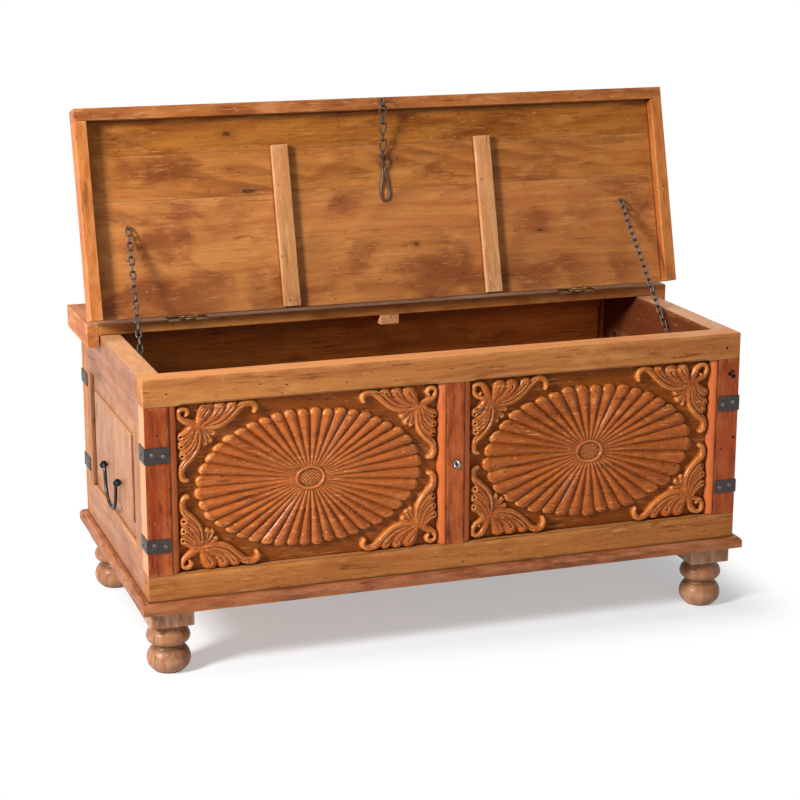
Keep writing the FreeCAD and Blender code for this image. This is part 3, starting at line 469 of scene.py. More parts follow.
# The colours of a wood: light, mid, dark, stain and worn
MATERIALS = {
    "rail": wood(
        "rail_wood", (178, 113, 56), (157, 92, 43), (111, 58, 23), (119, 62, 26), (194, 134, 78),
        streaks=0.7, cloudy=0.5, wear=0.7, fleck=1.1, rough=(0.42, 0.62), ring_strength=0.3,
        top_light=(206, 136, 84),
    ),
    "post": wood(
        "post_wood", (154, 65, 24), (130, 50, 18), (77, 25, 7), (87, 32, 11), (180, 96, 48),
        streaks=0.8, cloudy=0.55, wear=0.8, fleck=1.1, rough=(0.36, 0.56), ring_strength=0.3, fade=0.2,
        coat=0.06, specular=0.10, quirks=(0.554, 0.018), side_sheen=(203, 136, 98), ovolo_highlight=(188, 96, 46),
    ),
    "carved": wood(
        "carved_wood", (170, 86, 26), (150, 73, 19), (105, 46, 9), (122, 54, 13), (212, 138, 72),
        streaks=0.7, cloudy=0.4, wear=0.6, fleck=1.5, rough=(0.24, 0.40), ring_strength=0.2, wax=WAX,
        grain_bump=0.5, coat=0.34, seams=0.3, specular=0.06,
    ),
    "end": wood(
        "end_wood", (154, 103, 69), (139, 85, 52), (100, 54, 28), (116, 63, 37), (166, 120, 85),
        streaks=0.8, cloudy=0.6, wear=0.6, fleck=1.0, rough=(0.34, 0.52), ring_strength=0.3,
        inside_shade=(88, 40, 17), top_light=(206, 150, 104),
    ),
    "lid": wood(
        "lid_wood", (178, 114, 54), (160, 93, 41), (108, 56, 22), (121, 63, 24), (194, 138, 78),
        streaks=0.4, cloudy=1.0, wear=0.4, fleck=0.8, rough=(0.46, 0.66), rings=64.0, ring_strength=0.55,
        sway=0.085, knots=LID_KNOTS, grain_bump=0.35,
    ),
    "lip": wood(
        "lip_wood", (180, 105, 45), (161, 84, 32), (109, 48, 15), (131, 62, 23), (208, 142, 80),
        streaks=0.6, cloudy=0.45, wear=0.8, fleck=1.1, rough=(0.38, 0.56),
    ),
    "lip_front": wood(
        "lip_front_wood", (160, 94, 40), (140, 72, 28), (88, 38, 12), (104, 46, 18), (196, 132, 78),
        streaks=0.8, cloudy=0.7, wear=0.7, fleck=1.3, rough=(0.38, 0.56),
    ),
    "batten": wood(
        "batten_wood", (200, 142, 89), (182, 119, 71), (136, 80, 41), (159, 98, 57), (216, 170, 125),
        streaks=0.4, cloudy=0.35, wear=0.6, fleck=1.1, rough=(0.46, 0.66),
    ),
    "base": wood(
        "base_wood", (146, 81, 43), (125, 62, 31), (78, 33, 15), (87, 42, 22), (173, 113, 75),
        streaks=0.8, cloudy=0.6, wear=0.8, fleck=1.1, rough=(0.38, 0.58),
    ),
    "foot": wood(
        "foot_wood", (165, 114, 79), (145, 91, 59), (92, 52, 32), (110, 65, 41), (188, 146, 114),
        streaks=0.7, cloudy=0.55, wear=0.6, fleck=0.7, rough=(0.34, 0.52), coat=0.1,
    ),
    "inner": wood(
        "inner_wood", (226, 146, 62), (190, 116, 50), (120, 70, 30), (146, 84, 36), (240, 159, 68),
        streaks=0.6, cloudy=0.6, wear=0.3, fleck=0.7, rough=(0.55, 0.8), ring_strength=0.4,
    ),
    "iron": iron(
        "strap_iron", (0.040, 0.034, 0.031), (0.10, 0.040, 0.022), 0.5, (0.34, 0.6), 0.6, shine=6.0,
    ),
    "chain": iron("chain_iron", (0.075, 0.062, 0.055), (0.15, 0.065, 0.035), 0.4, (0.3, 0.5), 0.9),
    "handle": iron(
        "handle_iron", (0.010, 0.010, 0.011), (0.03, 0.014, 0.010), 0.15, (0.22, 0.4), 0.2, shine=1.5,
        bump=0.12,
    ),
    "nail": iron("nail_iron", (0.24, 0.22, 0.205), (0.14, 0.07, 0.04), 0.3, (0.3, 0.5), 0.9),
    "stud": iron("stud_iron", (0.125, 0.108, 0.098), (0.10, 0.05, 0.03), 0.35, (0.3, 0.5), 0.85),
    "black": iron(
        "black_iron", (0.006, 0.005, 0.004), (0.016, 0.008, 0.005), 0.2, (0.7, 0.9), 0.0, shine=1.2,
        specular=0.1,
    ),
    "brass": brass("hinge_brass_metal"),
}


# Boards: the CAD solids with softened edges, grain and wear

EDGE_STEP = 4.0 * MM
EDGE_REACH = 6.5 * MM
RING_INSETS = (4.0 * MM, 10.0 * MM)
SHARP_ANGLE = math.radians(25)


def dressed(node, material, along, bevel=1.0, from_lid=False, crisp=False):
    """A copy of a CAD solid, with rounded edges and its own grain, that stands for it."""
    work = bmesh.new()
    work.from_mesh(frame["nodes"][node].data)
    if from_lid:
        bmesh.ops.transform(work, matrix=CLOSE, verts=work.verts)
    bmesh.ops.remove_doubles(work, verts=work.verts, dist=1e-6)
    bmesh.ops.dissolve_limit(
        work, angle_limit=math.radians(1.0), use_dissolve_boundaries=False,
        verts=work.verts, edges=work.edges,
    )
    sharp = [edge for edge in work.edges
             if len(edge.link_faces) == 2 and edge.calc_face_angle(0.0) > SHARP_ANGLE]
    points = []
    for edge in sharp:
        a, b = edge.verts[0].co, edge.verts[1].co
        steps = max(2, int((b - a).length / EDGE_STEP))
        if edge.is_convex:
            points += [a.lerp(b, k / steps) for k in range(steps + 1)]
    bmesh.ops.bevel(
        work, geom=sharp, offset=bevel * MM, offset_type="OFFSET", segments=2,
        profile=0.5, affect="EDGES", clamp_overlap=True,
    )
    corner = np.array([v.co for v in work.verts])
    low, high = corner.min(0), corner.max(0)
    for axis in range(3):
        normal = Vector([1.0 if k == axis else 0.0 for k in range(3)])
        cuts = []
        for inset in RING_INSETS:
            if high[axis] - low[axis] > 2.6 * inset:
                cuts += [low[axis] + inset, high[axis] - inset]
        for place in cuts:
            spot = Vector(low)
            spot[axis] = place
            bisect(work, spot, normal)
    mesh = smooth_mesh(work, node + "_dressed")
    flat = put_grain(mesh, node, along)
    tree = KDTree(len(points))
    for index, point in enumerate(points):
        tree.insert(point, index)
    tree.balance()
    away = np.array([tree.find(Vector(point))[2] for point in flat])
    put_float(mesh, "edge", np.clip(1.0 - away / EDGE_REACH, 0.0, 1.0))
    if from_lid:
        mesh.transform(OPEN)
    if crisp:
        mesh.set_sharp_from_angle(angle=math.radians(28))
    stand_in(add_object(node + "_dressed", mesh), node, material, 80, crisp)


# Relief of the carved panels: heights on a fine grid, worked out in millimetres

GRID = 1.2
PANEL_GROUND = 16.0 * MM
PANEL_DEPTH = 18.0 * MM
PANEL_GAP = 0.2 * MM
ROSE_HALF = (222.5, 133.0)
RIDGE_RISE = 10.5
RIDGE_FALL = 2.2
GROOVE_SHARE = 0.56
GROOVE_LIMIT = 9.4
TIP_SHARE = 0.92
BOSS_HALF = (30.0, 23.0)
BOSS_FLOOR = 5.2
BOSS_RING_PLACE = 0.89
BOSS_RING_HALF = 0.13
BOSS_RING_RISE = 4.8
CUSHION = 0.75
CUSHION_RISE = 7.4
CUSHION_DOME = 1.6
HATCH_PITCH = 7.0
HATCH_SLOPE = 1.1
HATCH_DEPTH = 2.8
# Tool marks: (reach, depth)
TOOL_MARKS = ((9, 0.30), (3, 0.16))
CHIP_DEPTH = 2.2
CHIP_LEVEL = 0.42
LOWEST, HIGHEST = -0.8, 15.0


def smooth_path(points, step=1.2, per=None, closed=False):
    """Points on a Catmull-Rom curve: one for each step, or a set number for each stretch."""
    rows = np.array([tuple(point) for point in points], float)
    if closed:
        padded = np.vstack([rows[-1:], rows, rows[:2]])
    else:
        padded = np.vstack([2 * rows[0] - rows[1], rows, 2 * rows[-1] - rows[-2]])
    out = []
    for p0, p1, p2, p3 in zip(padded, padded[1:], padded[2:], padded[3:]):
        count = per or max(2, int(np.hypot(*(p2 - p1)[:2]) / step))
        for t in np.linspace(0, 1, count, endpoint=False):
            out.append(
                0.5 * (2 * p1 + (p2 - p0) * t + (2 * p0 - 5 * p1 + 4 * p2 - p3) * t * t
                       + (3 * p1 - p0 - 3 * p2 + p3) * t ** 3)
            )
    if not closed:
        out.append(rows[-1])
    return np.array(out)


def stroke_field(grid_u, grid_v, points, power):
    """0 to 1: a rounded ridge along a path whose width changes."""
    path = smooth_path(points)
    field = np.zeros_like(grid_u)
    reach = path[:, 2].max() + 1.0
    near = (
        (grid_u > path[:, 0].min() - reach) & (grid_u < path[:, 0].max() + reach)
        & (grid_v > path[:, 1].min() - reach) & (grid_v < path[:, 1].max() + reach)
    )
    u, v = grid_u[near], grid_v[near]
    best = np.zeros_like(u)
    for a, b in zip(path, path[1:]):
        span_u, span_v = b[0] - a[0], b[1] - a[1]
        length = span_u * span_u + span_v * span_v + 1e-9
        t = np.clip(((u - a[0]) * span_u + (v - a[1]) * span_v) / length, 0, 1)
        away = np.hypot(u - a[0] - t * span_u, v - a[1] - t * span_v)
        half = a[2] + (b[2] - a[2]) * t
        best = np.maximum(best, 1.0 - (away / half) ** 2)
    field[near] = np.clip(best, 0, 1) ** power
    return field


# Corner sprays, in millimetres from the opening's corner: (along, in, half width).
# The left panel's sprays grow from the lying branch, the right panel's from the upright one.
LEFT_STEMS = [
    [(17, 21, 2.4), (20.5, 16, 3.4), (18, 10.5, 3.8), (12, 8.2, 3.9), (6, 11, 3.9), (3.9, 17, 3.9),
     (6, 24, 4.0), (12, 29.5, 4.4), (20, 34, 5.0), (30, 39.5, 5.6), (42, 44, 6.0)],
    [(42, 44, 5.6), (60, 46.5, 5.0), (78, 44.5, 4.8), (93, 37.5, 4.8), (105, 27, 5.0), (115.5, 16.5, 5.2),
     (125, 9.4, 5.2), (137, 7.2, 5.0), (146, 11.5, 4.6), (148.5, 18, 4.0), (146.5, 24, 3.0)],
    [(36, 42, 5.0), (40.5, 52, 4.6), (40.5, 63, 4.8), (38.5, 77, 4.8), (32.5, 91, 4.8), (22, 104, 5.0),
     (11.5, 114, 5.2), (6.4, 124, 5.0), (6.4, 134, 4.8), (11, 142, 4.2), (17, 144, 3.0)],
]
LEFT_LOBES = [
    [(41, 39, 4.5), (46, 31, 6.8), (52, 21.5, 9.4), (57, 13.5, 10.6)],
    [(50, 40, 4.0), (63, 34, 5.2), (73, 26.5, 6.8), (79.5, 18.5, 8.4), (82, 11.5, 9.2)],
    [(60, 43, 3.6), (77, 38, 4.8), (90, 29.5, 6.0), (99, 20, 7.8), (104, 12.4, 9.0)],
    [(27, 42, 4.4), (22, 50, 5.8), (14.5, 57, 6.8), (8.6, 60.5, 7.2)],
    [(32, 46, 3.8), (27.5, 58, 5.4), (20, 69.5, 6.8), (10.5, 77.5, 7.9)],
    [(37, 50, 3.6), (34, 66, 5.2), (27.5, 81.5, 6.8), (13, 94.5, 8.8)],
    [(44, 49, 2.6), (50, 62, 4.2), (52, 75, 4.8)],
    [(48, 50, 2.4), (56, 61.5, 3.9), (61.5, 72, 4.6)],
    [(49, 49, 2.8), (59, 54, 4.6), (68, 58.5, 4.8)],
]
LEFT_FOLDS = [
    [(48, 25.5, 0.9), (52, 20.5, 1.6), (57, 13.5, 2.0)],
    [(72, 25, 0.9), (77, 19.5, 1.5), (82, 12, 1.9)],
    [(90, 24.5, 0.9), (97, 18.5, 1.5), (103, 11.5, 1.8)],
    [(52, 43.6, 0.8), (70, 41.6, 1.0), (88, 35.8, 1.1), (101, 26, 1.1), (113, 14.6, 1.1), (124, 8.4, 0.9)],
    [(40.5, 58, 0.9), (38.6, 74, 1.0), (33.6, 87, 1.1), (24.5, 99, 1.1), (13, 110, 1.1), (6.8, 119, 0.9)],
    [(23, 51, 0.8), (15, 57.5, 1.1), (10, 60, 1.2)],
    [(27, 60, 0.8), (19.5, 69.6, 1.2), (12, 76, 1.2)],
    [(33, 70, 0.8), (26.5, 82.5, 1.2), (15, 92.5, 1.3)],
    [(53, 52.5, 0.8), (60, 56, 1.1), (66, 58.5, 1.0)],
    [(52, 58, 0.8), (56, 64, 1.0), (60, 70, 1.0)],
    [(48, 60, 0.8), (50.5, 68, 1.0), (51.5, 75, 1.0)],
]
LEFT_PITS = [
    [(9.6, 15.2, 3.2), (12.6, 19, 3.6)], [(5.6, 61, 2.4), (6.6, 60.6, 2.4)], [(7, 79.4, 2.4), (8, 79, 2.4)],
    [(8, 98, 2.6), (9, 97.4, 2.6)],
]
RIGHT_STEMS = [
    [(19, 27, 2.6), (14, 31.5, 3.4), (8, 28, 3.9), (4.8, 21, 4.0), (6, 13, 4.0), (12, 9, 4.0), (20, 9.8, 4.2),
     (27, 16, 4.8), (31.5, 26, 5.4), (36, 39, 5.8), (41, 52, 5.4), (43, 64, 5.0), (42.5, 76, 4.8),
     (38.5, 89, 4.8), (30.5, 101, 4.8), (19.5, 112, 5.0), (9.5, 121, 5.0), (5.8, 131, 4.8), (8.5, 141.5, 4.2),
     (14.5, 145, 3.0)],
    [(10, 32, 3.4), (20, 35.5, 4.2), (30, 40, 4.8), (42, 47, 5.2)],
    [(44, 49, 4.8), (62, 52, 4.8), (79, 50, 4.8), (95, 43, 4.8), (109, 32, 4.8), (121, 19.5, 5.0),
     (132, 10.5, 5.0), (143, 7.5, 4.8), (151.5, 13, 4.4), (154.5, 22, 3.8), (153, 29, 2.8)],
]
RIGHT_LOBES = [
    [(44, 43, 4.5), (49, 34.5, 6.8), (55, 25, 9.6), (59, 17, 11.0)],
    [(52, 44, 4.0), (66, 38.5, 5.6), (77, 29, 8.0), (83, 17.5, 11.0)],
    [(63, 47, 3.6), (82, 41.5, 5.0), (97, 32, 6.8), (107.5, 22.5, 8.6), (112, 15, 9.0)],
    [(29, 43, 4.4), (24, 53, 5.6), (16.5, 61, 6.6), (9.5, 65.5, 7.2)],
    [(34, 50, 3.8), (29.5, 64.5, 5.4), (20.5, 77.5, 6.8), (10, 85, 7.8)],
    [(38, 56, 3.4), (34.5, 72.5, 5.0), (27, 87.5, 6.8), (13.5, 99.5, 8.6)],
    [(48, 57, 2.8), (59, 60, 4.4), (70, 62, 4.8)],
    [(48, 60, 2.4), (57, 69, 3.9), (64.5, 75.5, 4.6)],
    [(46, 62, 2.4), (51, 74, 3.8), (53.5, 84, 4.4)],
]
RIGHT_FOLDS = [
    [(53, 28, 0.9), (57, 22.5, 1.6), (61, 15.5, 2.0)],
    [(70, 34, 0.9), (79, 27, 1.4), (85, 18.5, 1.8)],
    [(90, 34.5, 0.9), (101, 26.5, 1.4), (110, 16.5, 1.8)],
    [(58, 50.4, 0.8), (77, 47.6, 1.0), (93, 40.6, 1.1), (107, 29.6, 1.1), (119, 17.4, 1.1), (131, 8.6, 0.9)],
    [(41.4, 60, 0.9), (40.4, 75, 1.0), (36.4, 87, 1.1), (28.6, 98.6, 1.1), (17.6, 109.4, 1.1),
     (7.8, 118.6, 0.9)],
    [(24, 54, 0.8), (16.5, 61.4, 1.1), (11, 64.6, 1.2)],
    [(29, 66, 0.8), (20.5, 77.4, 1.2), (12, 83.4, 1.2)],
    [(33.5, 76, 0.8), (26.5, 88, 1.2), (15.5, 97.4, 1.3)],
    [(54, 58.6, 0.8), (61, 60.6, 1.1), (68, 62, 1.0)],
    [(53, 65, 0.8), (58, 70, 1.0), (63, 74.4, 1.0)],
    [(49, 70, 0.8), (51.4, 76, 1.0), (53, 82, 1.0)],
]
RIGHT_PITS = [
    [(13, 15.6, 3.4), (15.4, 22.5, 4.0)], [(6.4, 67, 2.4), (7.4, 66.6, 2.4)], [(7, 86.4, 2.4), (8, 86, 2.4)],
    [(9, 103, 2.4), (10, 102.4, 2.4)], [(82, 17.4, 1.8), (83, 18.2, 1.8)],
]
SPRAYS = {
    "left": (LEFT_STEMS, LEFT_LOBES, LEFT_FOLDS, LEFT_PITS),
    "right": (RIGHT_STEMS, RIGHT_LOBES, RIGHT_FOLDS, RIGHT_PITS),
}

PAD_RISE = 3.4
OUTER_LOBE_RISE = 11.6
INNER_LOBE_RISE = 8.6
OUTER_LOBES = 6
STEM_RISE = 11.2
FOLD_DEPTH = 3.2
PIT_DEPTH = 9.0


def spray_field(grid_u, grid_v, design, wobble):
    """Heights of one corner spray on its own corner's axes."""
    stems, lobes, folds, pits = SPRAYS[design]

    def shifted(rows):
        away_u, away_v = wobble.uniform(-0.8, 0.8), wobble.uniform(-0.8, 0.8)
        return [(u + away_u, v + away_v, w * wobble.uniform(0.96, 1.05)) for u, v, w in rows]

    def ridge(rows, share, power, extra=0.0):
        wide = [(u, v, w * share + extra) for u, v, w in rows]
        return stroke_field(grid_u, grid_v, wide, power)

    placed = [shifted(rows) for rows in lobes]
    height = np.zeros_like(grid_u)
    for rows in placed + stems:
        height = np.maximum(height, PAD_RISE * ridge(rows, 1.42, 0.35, 1.2))
    for index, rows in enumerate(placed):
        rise = OUTER_LOBE_RISE if index < OUTER_LOBES else INNER_LOBE_RISE
        height = np.maximum(height, rise * ridge(rows, 1.40, 0.42))
    for rows in stems:
        height = np.maximum(height, STEM_RISE * ridge(rows, 1.52, 0.42))
    for rows in folds:
        height -= FOLD_DEPTH * ridge(rows, 1.0, 0.8)
    for rows in pits:
        height -= PIT_DEPTH * ridge(rows, 0.9, 0.45)
    return np.clip(height, 0.0, None)


def arc_table(half_x, half_z, samples=2880):
    """Share of an ellipse's edge up to each angle, from angle 0."""
    turn = np.linspace(0, 2 * np.pi, samples + 1)
    step = np.hypot(np.diff(half_x * np.cos(turn)), np.diff(half_z * np.sin(turn)))
    total = np.concatenate([[0], np.cumsum(step)])
    return turn, total / total[-1], total[-1]


def soft_noise(shape, cell, source):
    """Smooth random field between -1 and 1, from a coarse random grid."""
    rows = int(shape[0] / cell) + 4
    cols = int(shape[1] / cell) + 4
    coarse = source.uniform(-1, 1, (rows, cols))
    y = np.arange(shape[0])[:, None] / cell
    x = np.arange(shape[1])[None, :] / cell
    yi, xi = y.astype(int), x.astype(int)
    fy, fx = y - yi, x - xi
    fy, fx = fy * fy * (3 - 2 * fy), fx * fx * (3 - 2 * fx)
    top = coarse[yi, xi] * (1 - fx) + coarse[yi, xi + 1] * fx
    low = coarse[yi + 1, xi] * (1 - fx) + coarse[yi + 1, xi + 1] * fx
    return top * (1 - fy) + low * fy


def rosette_field(x, z, count, source, start):
    """The fluted oval: ray-like petals with round tips, and a hatched boss."""
    half_x, half_z = ROSE_HALF
    turn_table, share_table, girth = arc_table(half_x, half_z)
    turn = np.mod(np.arctan2(z / half_z, x / half_x), 2 * np.pi)
    place = np.mod(np.interp(turn, turn_table, share_table) * count - start, count)
    index = place.astype(int)
    off = 2 * (place - index) - 1
    radius = np.hypot(x, z)
    rim_x, rim_z = half_x * np.cos(turn), half_z * np.sin(turn)
    rim = np.hypot(rim_x, rim_z)
    slope = np.abs(rim_x * half_z * np.cos(turn) + rim_z * half_x * np.sin(turn))
    squint = slope / (rim * np.hypot(half_x * np.sin(turn), half_z * np.cos(turn)) + 1e-9)
    pitch = girth / count * np.clip(squint, 0.3, 1.0)
    rim = rim + source.uniform(-2.2, 2.2, count)[index]
    lift = source.uniform(-0.5, 0.5, count)[index]
    tip = pitch * 0.5 * TIP_SHARE
    beyond = np.clip((radius - rim + tip) / tip, 0, None)
    at_tip = radius > rim - tip
    body = 0.8 * np.sqrt(np.clip(1.0 - off ** 2, 0, 1)) + 0.2 * np.clip(1.0 - np.abs(off + 0.12), 0, 1)
    cap = np.sqrt(np.clip(1.0 - off ** 2 - beyond ** 2, 0, 1))
    ridge = np.where(at_tip, cap, body)
    depth = np.clip(GROOVE_SHARE * pitch * radius / rim, 0.0, GROOVE_LIMIT)
    along = np.clip(radius / rim, 0, 1)
    top = RIDGE_RISE - RIDGE_FALL + RIDGE_FALL * np.clip((along - 0.15) / 0.6, 0, 1) + lift
    height = np.where(cap > 0, top - depth + depth * ridge, 0.0)
    settle = np.sqrt(np.clip(1.0 - np.clip(beyond, 0, 1) ** 2, 0, 1))
    height = np.where(at_tip, np.minimum(height, top * settle), height)
    height = np.where(at_tip & (ridge <= 0), 0.0, height)
    boss = np.hypot(x / BOSS_HALF[0], z / BOSS_HALF[1])
    ring = np.sqrt(np.clip(1 - ((boss - BOSS_RING_PLACE) / BOSS_RING_HALF) ** 2, 0, 1))
    inner = np.clip((CUSHION - boss) / 0.05, 0, 1)
    hatch_a = np.abs(np.mod((x + z * HATCH_SLOPE) / HATCH_PITCH, 1) - 0.5) * 2
    hatch_b = np.abs(np.mod((x - z * HATCH_SLOPE) / HATCH_PITCH, 1) - 0.5) * 2
    hatch = np.clip(np.minimum(hatch_a, hatch_b) * 1.6, 0, 1)
    dome = CUSHION_RISE + CUSHION_DOME * np.clip(1 - (boss / CUSHION) ** 2, 0, 1)
    heart = BOSS_FLOOR + ring * BOSS_RING_RISE
    hatched = np.maximum(heart, inner * (dome - HATCH_DEPTH * (1 - hatch)))
    heart = np.where(boss < CUSHION, hatched, heart)
    return np.where(boss < 1.02, np.maximum(heart, 0), height)


def box_blur(field, reach):
    """A mean over a square of side 2 * reach + 1."""
    size = 2 * reach + 1
    for _ in range(2):
        total = np.cumsum(np.pad(field, [(reach + 1, reach), (0, 0)], mode="edge"), axis=0)
        field = ((total[size:] - total[:-size]) / size).T
    return field


def share_of(amount, full):
    """0 to 1 as an amount grows from nought to full."""
    return np.clip(amount / full, 0, 1)


def carve_panel(node, count, start, design, shift):
    """A carved panel as a closed relief that stands for its CAD solid."""
    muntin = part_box("front_muntin")
    low_z, high_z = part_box("front_bottom_rail")[1].z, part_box("front_top_rail")[0].z
    if design == "left":
        sides = (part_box("front_post_left")[1].x, muntin[0].x)
    else:
        sides = (muntin[1].x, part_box("front_post_right")[0].x)
    low = np.array([sides[0], low_z]) + PANEL_GAP
    high = np.array([sides[1], high_z]) - PANEL_GAP
    size = (high - low) / MM
    cols = int(round(size[0] / GRID)) + 1
    rows = int(round(size[1] / GRID)) + 1
    grid_u, grid_v = np.meshgrid(np.linspace(0, size[0], cols), np.linspace(0, size[1], rows))
    source = np.random.default_rng(sum(map(ord, node)))
    x, z = grid_u - size[0] / 2 - shift[0], grid_v - size[1] / 2 - shift[1]
    height = rosette_field(x, z, count, source, start)
    for far_u in (False, True):
        for far_v in (False, True):
            local_u = size[0] - grid_u if far_u else grid_u
            local_v = grid_v if far_v else size[1] - grid_v
            wobble = random.Random(node + str(far_u) + str(far_v))
            field = spray_field(local_u, local_v, design, wobble)
            height = np.where(field > 0.3, np.maximum(field, height * (field < 0.3)), height)

    # Tool marks and small chips
    def noise(reach):
        return soft_noise(height.shape, reach * (1.0 / GRID), source)

    tooling = sum(depth * noise(reach) for reach, depth in TOOL_MARKS)
    chips = CHIP_DEPTH * np.clip(noise(5) * noise(2.4) - CHIP_LEVEL, 0, 1) * (height > 2)
    height = np.clip(height + tooling * np.clip(0.4 + height / 10.0, 0.4, 1.0) - chips, LOWEST, HIGHEST)

    # Where wax gathers and where hands rub
    wide = box_blur(box_blur(height, 5), 5)
    near = box_blur(height, 2)
    border_away = np.minimum.reduce([grid_u, size[0] - grid_u, grid_v, size[1] - grid_v])
    cavity = share_of(wide - height, 5.0) * 0.4 + share_of(near - height, 1.6) * 0.4
    cavity = np.clip(cavity + np.clip(1 - border_away / 7.0, 0, 1) * 0.5, 0, 1)
    ground = share_of(1.6 - height, 1.2)
    high_spot = share_of(height - near, 1.0) * 0.7 + share_of(height - wide, 5.0) * 0.4
    on_boss = np.hypot(x / BOSS_HALF[0], z / BOSS_HALF[1]) < 0.74
    high_spot = np.where(on_boss, share_of(height - near, 0.5), high_spot)

    ground_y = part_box("front_top_rail")[0].y + PANEL_GROUND
    verts = np.stack(
        [low[0] + grid_u * MM, ground_y - height * MM, low[1] + grid_v * MM], -1
    ).reshape(-1, 3)
    index = np.arange(rows * cols).reshape(rows, cols)
    faces = np.stack([index[:-1, :-1], index[:-1, 1:], index[1:, 1:], index[1:, :-1]], -1).reshape(-1, 4)
    border = np.concatenate([index[0, :], index[1:, -1], index[-1, -2::-1], index[-2:0:-1, 0]])
    back = verts[border]
    back[:, 1] = ground_y + PANEL_DEPTH
    first_back = len(verts)
    ring = np.arange(len(border))
    following = np.roll(ring, -1)
    skirt = np.stack([border[following], border[ring], first_back + ring, first_back + following], -1)
    mesh = mesh_from_arrays(node + "_relief", np.vstack([verts, back]), np.vstack([faces, skirt]))
    work = bmesh.new()
    work.from_mesh(mesh)
    work.verts.ensure_lookup_table()
    cap = work.faces.new([work.verts[first_back + k] for k in range(len(border))])
    cap.smooth = False
    bmesh.ops.recalc_face_normals(work, faces=work.faces)
    work.to_mesh(mesh)
    work.free()
    put_grain(mesh, node, "x")
    for name, field in (("cavity", cavity), ("ground", ground), ("high", high_spot)):
        put_float(mesh, name, np.concatenate([field.ravel(), np.zeros(len(border))]))
    stand_in(add_object(node + "_relief", mesh), node, "carved")


carve_panel("carved_panel_left", 44, 0.0, "left", (0.0, -1.0))
carve_panel("carved_panel_right", 37, 0.3, "right", (-4.0, -3.0))


# Front rails: a chamfer on the inner edge that stops short of each upright

CHAMFER = 4.5 * MM
CHAMFER_STOP = 3.0 * MM
CHAMFER_RUN = 11.0 * MM
RAIL_EASE = 0.8 * MM
RAIL_EDGE_REACH = 8.5 * MM
RAIL_GRIME_REACH = 4.0 * MM


def stopped_rail(node, inner_low):
    """A front rail with stopped chamfers, built from cross sections along it."""
    low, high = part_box(node)
    left, middle, right = (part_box(name) for name in ("front_post_left", "front_muntin", "front_post_right"))
    spans = ((left[1].x, middle[0].x), (middle[1].x, right[0].x))
    stations = {low.x, low.x + RAIL_EASE, high.x - RAIL_EASE, high.x}
    for start, end in spans:
        for k in range(9):
            reach = CHAMFER_STOP + CHAMFER_RUN * k / 8
            stations |= {start + reach, end - reach}
        for k in range(1, 12):
            stations.add(start + (end - start) * k / 12)
    work = bmesh.new()
    made = []
    ease = RAIL_EASE
    for x in sorted(stations):
        cut = ease
        for start, end in spans:
            if start < x < end:
                share = (min(x - start, end - x) - CHAMFER_STOP) / CHAMFER_RUN
                cut = ease + (CHAMFER - ease) * math.sin(max(0.0, min(1.0, share)) * math.pi / 2)
        shrink = ease if x in (low.x, high.x) else 0.0
        y0, y1 = low.y + shrink, high.y - shrink
        z0, z1 = low.z + shrink, high.z - shrink
        cut_low, cut_high = (cut, ease) if inner_low else (ease, cut)
        section = (
            (y0, z0 + cut_low), (y0, z1 - cut_high), (y0 + cut_high, z1), (y1 - ease, z1),
            (y1, z1 - ease), (y1, z0 + ease), (y1 - ease, z0), (y0 + cut_low, z0),
        )
        made.append([work.verts.new((x, y, z)) for y, z in section])
    for a, b in zip(made, made[1:]):
        for k in range(8):
            m = (k + 1) % 8
            work.faces.new((a[k], b[k], b[m], a[m]))
    work.faces.new(made[0])
    work.faces.new(made[-1][::-1])
    bmesh.ops.recalc_face_normals(work, faces=work.faces)
    for z in (low.z + 6 * MM, low.z + 12 * MM, high.z - 6 * MM, high.z - 12 * MM):
        bisect(work, (0, 0, z), (0, 0, 1))
    mesh = smooth_mesh(work, node + "_stopped")
    flat = put_grain(mesh, node, "x")
    away = np.minimum(np.abs(flat[:, 2] - low.z), np.abs(flat[:, 2] - high.z)) + np.abs(flat[:, 1] - low.y)
    put_float(mesh, "edge", np.clip(1.0 - away / RAIL_EDGE_REACH, 0, 1))
    inner_away = np.abs(flat[:, 2] - (low.z if inner_low else high.z))
    put_float(mesh, "grime", 0.35 * np.clip(1.0 - inner_away / RAIL_GRIME_REACH, 0, 1))
    stand_in(add_object(node + "_stopped", mesh), node, "rail", 80)


stopped_rail("front_top_rail", True)
stopped_rail("front_bottom_rail", False)


# Joinery, lid and base

for side in ("left", "right"):
    dressed("front_post_" + side, "post", "z", bevel=0.6, crisp=True)
    for timber, along in (("top_rail", "y"), ("bottom_rail", "y"), ("front_stile", "z"), ("back_stile", "z")):
        dressed("end_" + timber + "_" + side, "end", along)
    dressed("end_panel_" + side, "end", "z", bevel=0.3, crisp=True)
    dressed("back_post_" + side, "rail", "z")
    dressed("ledge_lip_" + side, "lip", "y")
    dressed("lid_lip_" + side, "lip", "y", from_lid=True)
    dressed("lid_batten_" + side, "batten", "y", from_lid=True)
    dressed("base_moulding_" + side, "base", "y")
dressed("front_muntin", "post", "z", bevel=0.6, crisp=True)
for timber, material, along in (
    ("back_top_rail", "rail", "x"), ("back_bottom_rail", "rail", "x"), ("back_board", "inner", "x"),
    ("floor_board", "inner", "x"), ("base_moulding_front", "base", "x"), ("base_moulding_back", "base", "x"),
    ("ledge_board", "lid", "x"), ("ledge_batten", "batten", "y"),
):
    dressed(timber, material, along)
dressed("lid_lip_front", "lip_front", "x", from_lid=True)
for plank in ("front", "middle", "rear"):
    dressed("lid_board_" + plank, "lid", "x", bevel=0.7, from_lid=True)
dressed("corner_straps", "iron", "x", bevel=0.5)


# Turned feet

